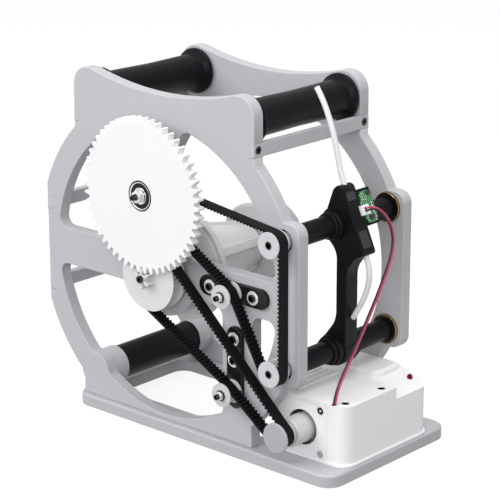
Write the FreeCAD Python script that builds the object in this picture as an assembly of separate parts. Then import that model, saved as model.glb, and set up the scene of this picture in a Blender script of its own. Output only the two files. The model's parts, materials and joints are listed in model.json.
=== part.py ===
import FreeCAD, Part
import math
import os

# Filament spool winder: two skeleton side plates on a base carry a spool axle, two top rollers,
# a gear and toothed-belt train on the front plate, and two turning rods with a sliding filament guide.
# Millimetres. While modelling, X runs along the base with 0 at the spool axle, Y runs from the front
# plate's front face to the back, and Z is up from the base's underside. The saved parts are moved so
# that their origin is the middle of the whole winder at floor level.

V = FreeCAD.Vector
DEPTH = V(0, 1, 0)

# Base plate
BASE_X0 = -89.5
BASE_X1 = 159.45
BASE_Y0 = -4.5
BASE_Y1 = 127.5
BASE_T = 9.0
BASE_CORNER_R = 12.0
BASE_CHAMFER = 1.2
BASE_WINDOW_X = (-78.0, 80.0)
BASE_WINDOW_Y = (20.0, 99.7)
BASE_WINDOW_R = 10.0

# Side plates, both cut to one outline
PLATE_T = 9.5
PLATE_GAP = 102.8
FRONT_Y = (0.0, PLATE_T)
REAR_Y = (PLATE_T + PLATE_GAP, 2 * PLATE_T + PLATE_GAP)
AXLE_Z = 120.0
RING_OUT_R = 127.0
RING_IN_R = 107.8
LEFT_FLAT_X = -118.8
HEAD_HALF_W = 87.0
HEAD_TOP_Z = 257.5
HEAD_CORNER_R = 14.0
SADDLE_LOW_Z = 248.0
SADDLE_R = 260.0
WING_X = 127.0
WING_Z = (61.5, 177.5)
WING_CORNER_R = 9.0
FOOT_HALF_W = 84.0
HUB_DISC_R = 32.0
SPOKE_Z = (106.0, 134.0)
TOP_SPOKE = [(24.0, 230.0), (13.5, 210.0), (13.5, 120.0)]
LEG_X = (57.0, 85.0)
REAR_DISC_R = 28.0
REAR_SPOKE_Z = (93.0, 118.0)
WINDOW_R = 7.0
PAD_R = 14.3

# Cross bars let into notches in the plates' edges
TOP_BAR_DEPTH = 4.0
LEFT_BAR_DEPTH = 6.5
BAR_H = 10.0
TOP_BAR_Z = 216.8
LEFT_BAR_Z = (83.0, 145.5)
BAR_SCREW_R = 1.5
BAR_SCREW_HEAD_R = 3.2
BAR_SCREW_HEAD_H = 1.8
BAR_SCREW_LEN = 12.0

# Fixed tube between the plates, low on the left
TUBE_X = -72.0
TUBE_Z = 28.0
TUBE_R = 12.6
TUBE_BORE_R = 10.5
SOCKET_R = 14.0
SOCKET_OUT = 12.4
SOCKET_SEAT = 8.0
SPIGOT_R = 9.0
SPIGOT_LEN = 4.0

# Free rollers on top
ROLLER_X = 70.2
ROLLER_Z = 238.7
ROLLER_Y = (10.9, 110.9)
ROLLER_END_R = 13.3
ROLLER_WAIST_R = 12.6
ROLLER_FLANGE_R = 17.1
ROLLER_FLANGE_T = 3.2
ROLLER_CONE = 3.0
ROLLER_AXLE_R = 4.0
AXLE_SEAT = 6.0

# Ball bearings, 22 x 8 x 7 mm, and fits
BEARING_R = 11.0
BEARING_BORE_R = 4.0
BEARING_W = 7.0
CLEARANCE_R = 8.0
RUN_FIT = 0.05
SEAT_FIT = 0.02

# Belt drive: 3 mm pitch round-tooth belt, all in one plane in front of the front plate
BELT_PITCH = 3.0
BELT_FRONT_Y = -14.0
BELT_REAR_Y = -5.5
BELT_BACK = 0.86
BELT_INNER = -0.38
BELT_TOOTH_H = 1.17
TOOTH_BASE_W = 2.1
TOOTH_TIP_W = 1.1
PULLEY_TIP_GAP = 0.3
PULLEY_GROOVE_H = 1.2

# Spool shaft: six-tooth pinion and belt pulley in one moulding, spool hub between the plates
PINION_TEETH = 6
GEAR_TEETH = 54
MODULE = 2.0
PRESSURE_ANGLE = math.radians(20.0)
PINION_FRONT_Y = -22.0
BIG_PULLEY_TEETH = 48
BIG_FLANGE_R = 25.0
BIG_FLANGE_FRONT_Y = -15.0
HUB_Y = (10.3, 90.0)
HUB_FLANGE_R = 39.5
HUB_FLANGE_Y = (21.0, 26.0)
HUB_CONE_R = (27.0, 15.5)
HUB_RIB_H = 3.0
HUB_RIB_W = 6.6
HUB_RIBS = 4
HUB_RIB_ANGLE = 24.0
CLAMP_Y = (92.0, 108.0)
CLAMP_RIM_Y = (95.2, 98.0)
CLAMP_R = 30.2

# Large gear
GEAR_Z = AXLE_Z + MODULE * (PINION_TEETH + GEAR_TEETH) / 2
GEAR_Y = (-21.3, -15.3)
GEAR_TIP_R = 55.8
GEAR_ROOT_R = 51.5
GEAR_BOSS_R = 14.2
SMALL_PULLEY_TEETH = 18

# Belt idlers on slotted tensioner bars
IDLER_CORE_R = 4.9
IDLER_BELT_R = 6.06
IDLER_FLANGE_R = 8.5
UPPER_IDLER = (70.6, 120.6)
LOWER_IDLER = (70.6, 49.5)
TENSIONER_T = 3.0
TENSIONER_W = 14.3
UPPER_BAR_X = (38.0, 101.2)
UPPER_LOCK_X = (48.7, 88.5)
LOWER_BAR_Z = (36.0, 96.0)
LOWER_LOCK_Z = (71.6, 87.0)
TENSION_TRAVEL = 6.0

# Guide rods at the right, and the sliding guide
ROD_X = 112.9
UPPER_ROD_Z = 165.2
LOWER_ROD_Z = 74.8
ROD_R = 7.75
BEARING_PROUD = 2.3
GUIDE_Y = (53.0, 66.4)
GUIDE_BOSS_R = 12.0
GUIDE_NECK_X = (115.0, 123.8)
GUIDE_FOOT_Z = 66.0
GUIDE_TOP_IN = (113.2, 192.4)
GUIDE_SHOULDER = (105.9, 174.7)
GUIDE_WEB_Z = (150.0, 133.5)
UPPER_WEB = [(116.0, 145.0), (105.5, 155.8)]
LOWER_WEB = [(116.0, 98.0), (101.4, 79.0)]
SCOOP_R = 19.5
SCOOP_PLACE = (19.5, 22.3, 50.0)
SCOOP_DEEP = 12.0
SHELF_ALONG = (5.0, 31.0)
SHELF_INNER = -3.0
SHELF_END_Y = 81.0
GUIDE_HOLLOW_R = 3.0
GUIDE_CORNER_R = 1.5
GUIDE_CHAMFER = 0.8
COLLAR_Y = (48.5, 72.0)
UPPER_COLLAR_R = 10.2
LOWER_COLLAR_R = 10.7
BUSH_R = 9.3
UPPER_BUSH_Y = (43.0, 78.0)
LOWER_BUSH_Y = (45.0, 78.0)
HOLDER_Y = (GUIDE_Y[0] + GUIDE_Y[1]) / 2
HOLDER_TOP = (115.4, 191.5)
HOLDER_TILT = math.radians(24.3)
HOLDER_LEN = 50.0
HOLDER_OUTER = 4.3
HOLDER_INNER = -6.0
GUIDE_TUBE_R = 2.0
GUIDE_TUBE_OUT = 0.9
BOARD_ALONG = (7.0, 29.5)
BOARD_OUT = (2.7, 4.3)
BOARD_Y = (66.6, 79.0)
PLUG_ALONG = (16.5, 23.5)
PLUG_OUT = 8.0
PLUG_Y = (62.5, 69.5)

# Motor and drive box
MOTOR_X = 119.5
MOTOR_Z = 30.7
MOTOR_R = 10.2
MOTOR_Y = (-2.6, 70.0)
MOTOR_PULLEY_TEETH = 16
BOX_X = (88.0, 157.4)
BOX_Y = (12.9, 107.5)
BOX_TOP_Z = 53.0
BOX_LOW_Z = 44.7
BOX_STEP_Y = 68.6
BOX_SLOPE_X = 128.0
BOX_WALL = 3.0
BOX_CORNER_R = 11.0
TRAY_T = 2.0
TRAY_LIP = 1.0
PANEL_X = (94.0, 141.5)
PANEL_Z = (11.5, 50.0)
PANEL_T = 2.0
MOTOR_HOLE_R = 12.8
WIRE_NOTCH_X = (144.2, 147.8)
WIRE_NOTCH_DEPTH = 3.6
PAD_X = (94.0, 134.0)
PAD_Y = (76.0, 104.0)
PAD_RISE = 3.2
VENT_X = (92.5, 97.5, 102.5, 107.5)
VENT_W = 2.0
VENT_Y = (22.0, 64.0)
VENT_RISE = 1.2
LAMP_PLACE = (144.8, 100.0)
LAMP_R = 2.0
SOCKET_PLACE = (140.0, 30.0)
POWER_R = 4.0
PANEL_SCREW_REACH = (15.8, 15.9)
LID_SCREWS = [(149.5, 22.4), (150.0, 60.9)]
SMALL_HEAD_R = 2.6
SMALL_SHANK_R = 1.5

# Cord routes, chosen by hand
GUIDE_TUBE_TOP = [(90.9, 256.6), (96.0, 249.3), (101.2, 239.2), (106.8, 224.5), (110.4, 210.0)]
GUIDE_TUBE_END = [(139.4, 129.5), (135.3, 116.2), (129.7, 106.0), (125.0, 98.8)]
GUIDE_TUBE_TURN = (-6.0, 54.0)
WIRE_R = 0.65
WIRE_SPACING = 1.6
WIRE_START = (20.0, 65.0)
WIRE_CLEAR = 4.4
WIRE_ROUTE = [
    (138.9, 67.3, 178.2),
    (141.2, 71.7, 174.4),
    (142.0, 76.4, 168.0),
    (142.8, 79.6, 160.0),
    (143.4, 79.9, 151.5),
    (144.0, 76.8, 142.4),
    (144.7, 70.4, 133.0),
    (145.6, 61.3, 120.6),
    (146.5, 50.0, 106.8),
    (147.0, 38.0, 91.3),
    (146.9, 27.0, 77.5),
    (146.4, 19.2, 66.0),
    (146.1, 15.6, 57.6),
    (146.0, 14.7, 51.6),
]

# The saved origin: middle of the winder's length and depth, on the floor
FRONT_TIP_Y = -29.0
ORIGIN_SHIFT = V(-(LEFT_FLAT_X + BASE_X1) / 2, -(FRONT_TIP_Y + BASE_Y1) / 2, 0)


def save(name, *solids):
    """Write one node's solids in the finished frame."""
    shape = solids[0] if len(solids) == 1 else Part.makeCompound(list(solids))
    shape = shape.copy()
    shape.translate(ORIGIN_SHIFT)
    shape.exportStep("parts/" + name + ".step")


def box(x, y, z):
    """A block between the (low, high) pairs x, y and z."""
    return Part.makeBox(x[1] - x[0], y[1] - y[0], z[1] - z[0], V(x[0], y[0], z[0]))


def rod_x(y, z, r, x):
    return Part.makeCylinder(r, x[1] - x[0], V(x[0], y, z), V(1, 0, 0))


def rod_y(x, z, r, y):
    return Part.makeCylinder(r, y[1] - y[0], V(x, y[0], z), DEPTH)


def rod_z(x, y, r, z):
    return Part.makeCylinder(r, z[1] - z[0], V(x, y, z[0]), V(0, 0, 1))


def ring_y(x, z, r_out, r_in, y):
    return rod_y(x, z, r_out, y).cut(rod_y(x, z, r_in, (y[0] - 1, y[1] + 1)))


def prism_y(outline, y):
    """Extrude a closed outline of (x, z) points along Y."""
    points = [V(px, y[0], pz) for px, pz in outline]
    face = Part.Face(Part.makePolygon(points + points[:1]))
    return face.extrude(V(0, y[1] - y[0], 0))


def lathe_y(x, z, profile):
    """Turn a closed profile of (y, radius) points about the line along Y through (x, z)."""
    points = [V(x + r, y, z) for y, r in profile]
    face = Part.Face(Part.makePolygon(points + points[:1]))
    return face.revolve(V(x, 0, z), DEPTH, 360)


def hexagon_y(x, z, across_flats, y):
    radius = across_flats / math.sqrt(3)
    corners = [math.radians(60 * k) for k in range(6)]
    return prism_y([(x + radius * math.cos(a), z + radius * math.sin(a)) for a in corners], y)


def slot_y(x, z, r, y):
    """A round-ended slot along Y: x and z are (low, high) centre-line pairs."""
    ends = rod_y(x[0], z[0], r, y).fuse(rod_y(x[1], z[1], r, y))
    if x[0] == x[1]:
        middle = box((x[0] - r, x[0] + r), y, z)
    else:
        middle = box(x, y, (z[0] - r, z[0] + r))
    return ends.fuse(middle).removeSplitter()


def round_edges(solid, radius, along, keep=lambda point: True):
    """Round the straight edges that run along a direction."""
    picked = []
    for edge in solid.Edges:
        if edge.Curve.TypeId != "Part::GeomLine" or len(edge.Vertexes) < 2:
            continue
        start = edge.Vertexes[0].Point
        way = (edge.Vertexes[1].Point - start).normalize()
        if abs(way.dot(along)) > 0.999 and keep(start):
            picked.append(edge)
    return solid.makeFillet(radius, picked)


# Side plates

def front_spokes(deep):
    """Spokes, hub disc and leg of the front plate, which carries the whole drive."""
    left_side = [(-x, z) for x, z in TOP_SPOKE]
    spokes = box((-130, 130), deep, SPOKE_Z)
    spokes = spokes.fuse(prism_y(left_side + TOP_SPOKE[::-1], deep))
    spokes = spokes.fuse(box(LEG_X, deep, (0, AXLE_Z)))
    return spokes.fuse(rod_y(0, AXLE_Z, HUB_DISC_R, deep))


def rear_spokes(deep):
    """The rear plate is an open ring: one arm from the left carries its axle bearing."""
    arm = box((-130, 0), deep, REAR_SPOKE_Z)
    return arm.fuse(rod_y(0, AXLE_Z, REAR_DISC_R, deep))


def plate_windows(y, spokes_of):
    """The open windows between rim, spokes and hub disc, with rounded corners."""
    deep = (y[0] - 1, y[1] + 1)
    solid = spokes_of(deep).fuse(rod_y(TUBE_X, TUBE_Z, PAD_R, deep))
    openings = rod_y(0, AXLE_Z, RING_IN_R, deep).cut(solid)
    return [round_edges(window, WINDOW_R, DEPTH) for window in openings.Solids]


def plate_blank(y):
    """The plate's outer shape: rim, saddle-topped head, rod wing and foot."""
    floor_z = BASE_T
    rim = rod_y(0, AXLE_Z, RING_OUT_R, y)
    rim = rim.cut(box((-140, LEFT_FLAT_X), (y[0] - 1, y[1] + 1), (0, 250)))
    rim = rim.cut(box((-140, 140), (y[0] - 1, y[1] + 1), (-20, floor_z)))
    head = box((-HEAD_HALF_W, HEAD_HALF_W), y, (AXLE_Z, HEAD_TOP_Z))
    head = round_edges(head, HEAD_CORNER_R, DEPTH, lambda p: p.z > AXLE_Z + 1)
    head = head.cut(rod_y(0, SADDLE_LOW_Z + SADDLE_R, SADDLE_R, (y[0] - 1, y[1] + 1)))
    wing = box((LEG_X[0], WING_X), y, WING_Z)
    wing = round_edges(wing, WING_CORNER_R, DEPTH, lambda p: p.x > LEG_X[0] + 1)
    foot = box((-FOOT_HALF_W, FOOT_HALF_W), y, (floor_z, 60))
    return rim.fuse([head, wing, foot])


def make_plate(y, spokes_of):
    blank = plate_blank(y)
    blank = blank.cut(plate_windows(y, spokes_of))
    pad = rod_y(TUBE_X, TUBE_Z, PAD_R, y)
    blank = blank.fuse(pad).removeSplitter()
    return blank.cut(crossbar_notches(y))


def crossbar_boxes():
    """Node name, x range and z range of each cross bar."""
    right_x = (HEAD_HALF_W - TOP_BAR_DEPTH, HEAD_HALF_W)
    left_x = (-HEAD_HALF_W, -HEAD_HALF_W + TOP_BAR_DEPTH)
    side_x = (LEFT_FLAT_X, LEFT_FLAT_X + LEFT_BAR_DEPTH)
    return [
        ("crossbar_top_right", right_x, (TOP_BAR_Z, TOP_BAR_Z + BAR_H)),
        ("crossbar_top_left", left_x, (TOP_BAR_Z, TOP_BAR_Z + BAR_H)),
        ("crossbar_mid_left", side_x, (LEFT_BAR_Z[1], LEFT_BAR_Z[1] + BAR_H)),
        ("crossbar_low_left", side_x, (LEFT_BAR_Z[0], LEFT_BAR_Z[0] + BAR_H)),
    ]


def crossbar_notches(y):
    deep = (y[0] - 1, y[1] + 1)
    return [box(x, deep, z) for name, x, z in crossbar_boxes()]


def crossbar_screw(x_face, inward, y, z, fit=0.0):
    """A countersunk screw driven in from a bar's outer face, or its hole where fit is positive."""
    way = V(inward, 0, 0)
    head = Part.makeCone(BAR_SCREW_HEAD_R, BAR_SCREW_R, BAR_SCREW_HEAD_H, V(x_face, y, z), way)
    start = V(x_face + inward * BAR_SCREW_HEAD_H / 2, y, z)
    shank = Part.makeCylinder(BAR_SCREW_R + fit, BAR_SCREW_LEN - BAR_SCREW_HEAD_H / 2 + fit, start, way)
    return head.fuse(shank)


def crossbar_screw_places():
    places = []
    for name, x, z in crossbar_boxes():
        inward = 1 if x[0] < 0 else -1
        face = x[0] if inward > 0 else x[1]
        for side in (FRONT_Y, REAR_Y):
            places.append((face, inward, (side[0] + side[1]) / 2, (z[0] + z[1]) / 2))
    return places


def base_screw_places():
    """Screws driven up through the base into the feet of both plates."""
    places = []
    for side in (FRONT_Y, REAR_Y):
        for x in (-76.0, -55.0, 55.0, 76.0):
            places.append((x, (side[0] + side[1]) / 2))
    return places


def base_screw(x, y, fit=0.0):
    head = rod_z(x, y, 3.5 + fit, (0.6 - fit, 3.4))
    shank = rod_z(x, y, 2.0 + fit, (3.0, 18.0 + fit))
    return head.fuse(shank)


def make_base():
    base = box((BASE_X0, BASE_X1), (BASE_Y0, BASE_Y1), (0, BASE_T))
    base = round_edges(base, BASE_CORNER_R, V(0, 0, 1))
    top_edges = [edge for edge in base.Edges if edge.BoundBox.ZMin > BASE_T - 0.01]
    base = base.makeChamfer(BASE_CHAMFER, top_edges)
    window = box(BASE_WINDOW_X, BASE_WINDOW_Y, (-1, BASE_T + 1))
    window = round_edges(window, BASE_WINDOW_R, V(0, 0, 1))
    base = base.cut(window)
    holes = [base_screw(x, y, SEAT_FIT) for x, y in base_screw_places()]
    entries = [rod_z(x, y, 3.5 + SEAT_FIT, (-1, 1)) for x, y in base_screw_places()]
    return base.cut(holes + entries)


# Bearings and turned pieces

def bearing(x, z, y0):
    """A shielded ball bearing: both faces are sunk between the rings."""
    y1 = y0 + BEARING_W
    sink = 0.5
    outer_lip = BEARING_R - 1.6
    inner_lip = BEARING_BORE_R + 1.6
    bore = BEARING_BORE_R + RUN_FIT
    return lathe_y(x, z, [
        (y0, bore), (y0, inner_lip), (y0 + sink, inner_lip), (y0 + sink, outer_lip),
        (y0, outer_lip), (y0, BEARING_R), (y1, BEARING_R), (y1, outer_lip),
        (y1 - sink, outer_lip), (y1 - sink, inner_lip), (y1, inner_lip), (y1, bore),
    ])


def make_roller(x):
    """A flanged roller, slightly waisted, free on its axle."""
    y0, y1 = ROLLER_Y
    middle = (y0 + y1) / 2
    inner0 = y0 + ROLLER_FLANGE_T
    inner1 = y1 - ROLLER_FLANGE_T
    bore = ROLLER_AXLE_R + RUN_FIT
    return lathe_y(x, ROLLER_Z, [
        (y0, bore), (y0, ROLLER_FLANGE_R), (inner0, ROLLER_FLANGE_R),
        (inner0 + ROLLER_CONE, ROLLER_END_R), (middle, ROLLER_WAIST_R), (inner1 - ROLLER_CONE, ROLLER_END_R),
        (inner1, ROLLER_FLANGE_R), (y1, ROLLER_FLANGE_R), (y1, bore),
    ])


def make_socket(y_face, inward):
    """A tube socket whose spigot is seated in the plate's inner face."""
    seat = y_face + inward * (SOCKET_OUT - SOCKET_SEAT)
    mouth = y_face + inward * SOCKET_OUT
    spigot = y_face - inward * SPIGOT_LEN
    return lathe_y(TUBE_X, TUBE_Z, [
        (spigot, 0), (spigot, SPIGOT_R), (y_face, SPIGOT_R), (y_face, SOCKET_R),
        (mouth, SOCKET_R), (mouth, TUBE_R + SEAT_FIT), (seat, TUBE_R + SEAT_FIT), (seat, 0),
    ])


# Toothed wheels

def pitch_radius(teeth):
    return teeth * BELT_PITCH / (2 * math.pi)


def toothed_outline(x, z, teeth, half_widths, first):
    """Outline of a wheel whose teeth are given as (radius, half width angle) pairs from root to tip."""
    points = []
    for k in range(teeth):
        middle = first + 2 * math.pi * k / teeth
        flank = [(r, middle - half) for r, half in half_widths]
        flank += [(r, middle + half) for r, half in reversed(half_widths)]
        points += [(x + r * math.cos(a), z + r * math.sin(a)) for r, a in flank]
    return points


def involute_half(radius, teeth, backlash):
    """Half the angle that a gear tooth covers at a radius."""
    pitch_r = MODULE * teeth / 2
    base_r = pitch_r * math.cos(PRESSURE_ANGLE)
    lean = math.acos(base_r / radius) if radius > base_r else 0.0
    spread = math.tan(PRESSURE_ANGLE) - PRESSURE_ANGLE - math.tan(lean) + lean
    return (math.pi * MODULE / 2 - backlash) / (2 * pitch_r) + spread


def belt_wheel(x, z, teeth, y):
    """The grooved part of a belt pulley."""
    tip_r = pitch_radius(teeth) + BELT_INNER - PULLEY_TIP_GAP
    root_r = tip_r - PULLEY_GROOVE_H
    land = math.pi / teeth
    half_widths = [(root_r, 0.62 * land), (tip_r, 0.36 * land)]
    return prism_y(toothed_outline(x, z, teeth, half_widths, 0.0), y)


def make_gear():
    flank_radii = (GEAR_ROOT_R, MODULE * GEAR_TEETH / 2, GEAR_TIP_R)
    flank = [(r, involute_half(r, GEAR_TEETH, 0.3)) for r in flank_radii]
    gap_down = -math.pi / 2 + math.pi / GEAR_TEETH
    disc = prism_y(toothed_outline(0, GEAR_Z, GEAR_TEETH, flank, gap_down), GEAR_Y)
    boss = rod_y(0, GEAR_Z, GEAR_BOSS_R, (GEAR_Y[1], GEAR_Y[0] + BEARING_W))
    seat = rod_y(0, GEAR_Z, BEARING_R + SEAT_FIT, (GEAR_Y[0] - 1, GEAR_Y[0] + BEARING_W + 1))
    return disc.fuse(boss).removeSplitter().cut(seat)


def make_gear_pulley():
    """Pulley behind the gear, turning with it on the stud."""
    front = GEAR_Y[0] + BEARING_W
    wheel = belt_wheel(0, GEAR_Z, SMALL_PULLEY_TEETH, (front, BELT_REAR_Y + 0.3))
    flange = rod_y(0, GEAR_Z, 10.4, (BELT_REAR_Y + 0.3, BELT_REAR_Y + 1.5))
    hub = rod_y(0, GEAR_Z, 6.0, (BELT_REAR_Y + 1.5, -0.4))
    bore = rod_y(0, GEAR_Z, BEARING_BORE_R + RUN_FIT, (front - 1, 1))
    return wheel.fuse([flange, hub]).removeSplitter().cut(bore)


def make_gear_stud():
    """Stud with its hexagon head let into the back of the front plate."""
    head = hexagon_y(0, GEAR_Z, 13.0, (4.5, PLATE_T))
    shaft = rod_y(0, GEAR_Z, BEARING_BORE_R, (GEAR_Y[0] - 0.3, 4.5))
    tip = rod_y(0, GEAR_Z, 2.2, (FRONT_TIP_Y, GEAR_Y[0] - 0.3))
    return head.fuse([shaft, tip])


def make_pinion_pulley():
    """Pinion, big belt pulley and bearing boss as one moulding."""
    rear_flange_y = (-4.1, -2.6)
    radii = [(3.3, 0.22), (4.9, 0.22)]
    radii += [(r, involute_half(r, PINION_TEETH, 0.5)) for r in (5.7, 6.4, 7.2, 7.8)]
    outline = toothed_outline(0, AXLE_Z, PINION_TEETH, radii, math.pi / 2)
    pinion = prism_y(outline, (PINION_FRONT_Y, BIG_FLANGE_FRONT_Y))
    front = rod_y(0, AXLE_Z, BIG_FLANGE_R, (BIG_FLANGE_FRONT_Y, BIG_FLANGE_FRONT_Y + 0.8))
    wheel = belt_wheel(0, AXLE_Z, BIG_PULLEY_TEETH, (BIG_FLANGE_FRONT_Y + 0.8, rear_flange_y[0]))
    rear = rod_y(0, AXLE_Z, BIG_FLANGE_R, rear_flange_y)
    boss = rod_y(0, AXLE_Z, 6.0, (rear_flange_y[1], 2.3))
    body = pinion.fuse([front, wheel, rear, boss]).removeSplitter()
    bore = rod_y(0, AXLE_Z, BEARING_BORE_R + SEAT_FIT, (-13.0, 3.0))
    screw_hole = rod_y(0, AXLE_Z, 1.5 + SEAT_FIT, (PINION_FRONT_Y - 1, -12.0))
    return body.cut([bore, screw_hole])


def hub_cone(extra):
    """The hub's tapered core from the flange to its rear end, larger by extra all round."""
    front_y, rear_y = HUB_FLANGE_Y[1] - 1, HUB_Y[1]
    front_r, rear_r = HUB_CONE_R[0] + extra, HUB_CONE_R[1] + extra
    return lathe_y(0, AXLE_Z, [
        (front_y, 0), (front_y, front_r), (rear_y - 1, rear_r), (rear_y, rear_r - 1), (rear_y, 0),
    ])


def make_spool_hub():
    """Front cone that centres the spool: a flange, a tapered core and raised ribs along it."""
    nose_y = HUB_Y[0]
    y0, y1 = HUB_FLANGE_Y
    r = HUB_FLANGE_R
    flange = lathe_y(0, AXLE_Z, [
        (nose_y, 0), (nose_y, 14.0), (nose_y + 3, 17.0), (y0 - 1.5, r - 5), (y0, r - 3),
        (y0, r - 0.8), (y0 + 0.8, r), (y1 - 0.8, r), (y1, r - 0.8), (y1, 0),
    ])
    ribs = []
    for k in range(HUB_RIBS):
        half = HUB_RIB_W / 2
        rib = box((5.0, HUB_FLANGE_R), (y1 - 1, HUB_Y[1]), (AXLE_Z - half, AXLE_Z + half))
        rib.rotate(V(0, 0, AXLE_Z), DEPTH, -HUB_RIB_ANGLE + 360.0 * k / HUB_RIBS)
        ribs.append(rib.common(hub_cone(HUB_RIB_H)))
    bore = rod_y(0, AXLE_Z, BEARING_BORE_R + SEAT_FIT, (HUB_Y[0] - 1, HUB_Y[1] + 1))
    return flange.fuse([hub_cone(0)] + ribs).removeSplitter().cut(bore)


def make_hub_clamp():
    """Rear cone that holds the spool against the front one."""
    y0, y1 = CLAMP_Y
    rim0, rim1 = CLAMP_RIM_Y
    clamp = lathe_y(0, AXLE_Z, [
        (y0, 0), (y0, 13.0), (rim0 - 0.8, CLAMP_R - 1.6), (rim0, CLAMP_R - 0.8), (rim0 + 0.8, CLAMP_R),
        (rim1, CLAMP_R), (rim1 + 1, CLAMP_R - 1), (y1 - 5, 12.0), (y1, 12.0), (y1, 0),
    ])
    return clamp.cut(rod_y(0, AXLE_Z, BEARING_BORE_R + SEAT_FIT, (y0 - 1, y1 + 1)))


# Toothed belts

def span_ends(first, second):
    """Tangent points of the straight span from one wheel to the next, both (x, z, radius, side)."""
    x0, z0, r0, side0 = first
    x1, z1, r1, side1 = second
    run = math.hypot(x1 - x0, z1 - z0)
    heading = math.atan2(z1 - z0, x1 - x0)
    turn = math.asin((side1 * r1 - side0 * r0) / run)
    way = heading - turn
    left = way + math.pi / 2
    start = (x0 - side0 * r0 * math.cos(left), z0 - side0 * r0 * math.sin(left))
    end = (x1 - side1 * r1 * math.cos(left), z1 - side1 * r1 * math.sin(left))
    return start, end, way


def belt_loop(wheels, offset, tooth_h, y):
    """Closed wire round the wheels, offset outwards from the pitch line, with teeth on the spans."""
    shifted = [(x, z, r + side * offset, side) for x, z, r, side in wheels]
    spans = [span_ends(shifted[k], shifted[(k + 1) % len(shifted)]) for k in range(len(shifted))]
    clear = [bare_run(wheel) for wheel in wheels]
    edges = []
    for k, (start, end, way) in enumerate(spans):
        bare = max(clear[k], clear[(k + 1) % len(clear)])
        points = [start] + (span_teeth(start, end, way, bare) if tooth_h else []) + [end]
        for a, b in zip(points, points[1:]):
            edges.append(Part.makeLine(V(a[0], y, a[1]), V(b[0], y, b[1])))
        x, z, r, side = shifted[(k + 1) % len(shifted)]
        following = spans[(k + 1) % len(spans)]
        bisector = (way + following[2]) / 2
        if abs(way - following[2]) > math.pi:
            bisector += math.pi
        middle = (x + side * r * math.sin(bisector), z - side * r * math.cos(bisector))
        leave = following[0]
        arc = Part.Arc(V(end[0], y, end[1]), V(middle[0], y, middle[1]), V(leave[0], y, leave[1]))
        edges.append(arc.toShape())
    return Part.Wire(edges)


def bare_run(wheel):
    """Length of span beside a wheel that is left without teeth, so that none touches the pulley."""
    x, z, r, side = wheel
    if side < 0:
        return BELT_PITCH / 2
    inner_r = r + BELT_INNER
    pulley_r = inner_r - PULLEY_TIP_GAP / 2
    return math.sqrt(pulley_r ** 2 - (inner_r - BELT_TOOTH_H) ** 2) + TOOTH_BASE_W / 2


def span_teeth(start, end, way, bare):
    """Corner points of the teeth on one span, pointing to the loop's inside."""
    length = math.hypot(end[0] - start[0], end[1] - start[1])
    count = int((length - 2 * bare) / BELT_PITCH) + 1
    first = (length - (count - 1) * BELT_PITCH) / 2
    along = (math.cos(way), math.sin(way))
    inward = (-math.sin(way), math.cos(way))
    points = []
    for k in range(count):
        centre = first + k * BELT_PITCH
        for shift, rise in ((-TOOTH_BASE_W, 0), (-TOOTH_TIP_W, 1), (TOOTH_TIP_W, 1), (TOOTH_BASE_W, 0)):
            s = centre + shift / 2
            h = rise * BELT_TOOTH_H
            points.append((start[0] + s * along[0] + h * inward[0], start[1] + s * along[1] + h * inward[1]))
    return points


def make_belt(wheels):
    """A toothed belt round wheels listed counter-clockwise; side is -1 where its back runs on one."""
    outer = Part.Face(belt_loop(wheels, BELT_BACK, 0, BELT_FRONT_Y))
    inner = Part.Face(belt_loop(wheels, BELT_INNER, BELT_TOOTH_H, BELT_FRONT_Y))
    return outer.cut(inner).extrude(V(0, BELT_REAR_Y - BELT_FRONT_Y, 0))


# Tensioners

def idler(x, z):
    """Two-flanged idler, free on its bolt."""
    bore = 2.0 + RUN_FIT
    return lathe_y(x, z, [
        (-16.3, bore), (-16.3, IDLER_FLANGE_R), (-15.1, IDLER_FLANGE_R), (-15.1, IDLER_CORE_R),
        (-4.9, IDLER_CORE_R), (-4.9, IDLER_FLANGE_R), (-3.7, IDLER_FLANGE_R), (-3.7, bore),
    ])


def idler_bolt(x, z):
    """Bolt with its head sunk in the plate's back and a shoulder behind the idler."""
    head = rod_y(x, z, 3.5, (6.0, 9.2))
    shank = rod_y(x, z, 2.0, (-22.0, 6.0))
    shoulder = rod_y(x, z, 3.4, (-3.6, -3.0))
    return head.fuse([shank, shoulder])


def idler_nut(x, z):
    washer = ring_y(x, z, 4.4, 2.0, (-17.2, -16.4))
    nut = hexagon_y(x, z, 7.0, (-20.2, -17.2)).cut(rod_y(x, z, 2.0, (-21, -16)))
    return washer.fuse(nut)


def lock_screw(x, z):
    """Locking screw with washer and sunk nut."""
    washer = ring_y(x, z, 5.0, 2.0, (-3.9, -3.0))
    head = rod_y(x, z, 3.5, (-5.1, -3.9))
    shank = rod_y(x, z, 2.0, (-3.9, 9.2))
    nut = hexagon_y(x, z, 7.0, (6.0, 9.0))
    return washer.fuse([head, shank, nut])


def make_tensioner_bar(x, z, bolt_places):
    """Round-ended bar; x and z are its outer (low, high) pairs."""
    half = TENSIONER_W / 2
    middle_x = (x[0] + half, x[1] - half)
    middle_z = (z[0] + half, z[1] - half)
    bar = slot_y(middle_x, middle_z, half, (-TENSIONER_T, 0))
    front = [edge for edge in bar.Edges if edge.BoundBox.YMax < -TENSIONER_T + 0.01]
    bar = bar.makeChamfer(0.6, front)
    holes = [rod_y(px, pz, 2.0 + SEAT_FIT, (-TENSIONER_T - 1, 1)) for px, pz in bolt_places]
    return bar.cut(holes)


def tensioner_slots(bolt_places, way):
    """Slots through the front plate that the bolts and their sunk nuts slide in."""
    cuts = []
    for px, pz in bolt_places:
        x = (px - TENSION_TRAVEL * way[0], px)
        z = (pz - TENSION_TRAVEL * way[1], pz)
        cuts.append(slot_y(x, z, 2.3, (-1, 7.0)))
        cuts.append(slot_y(x, z, 4.3, (5.4, PLATE_T + 1)))
    return cuts


# Guide rods and guide

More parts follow.
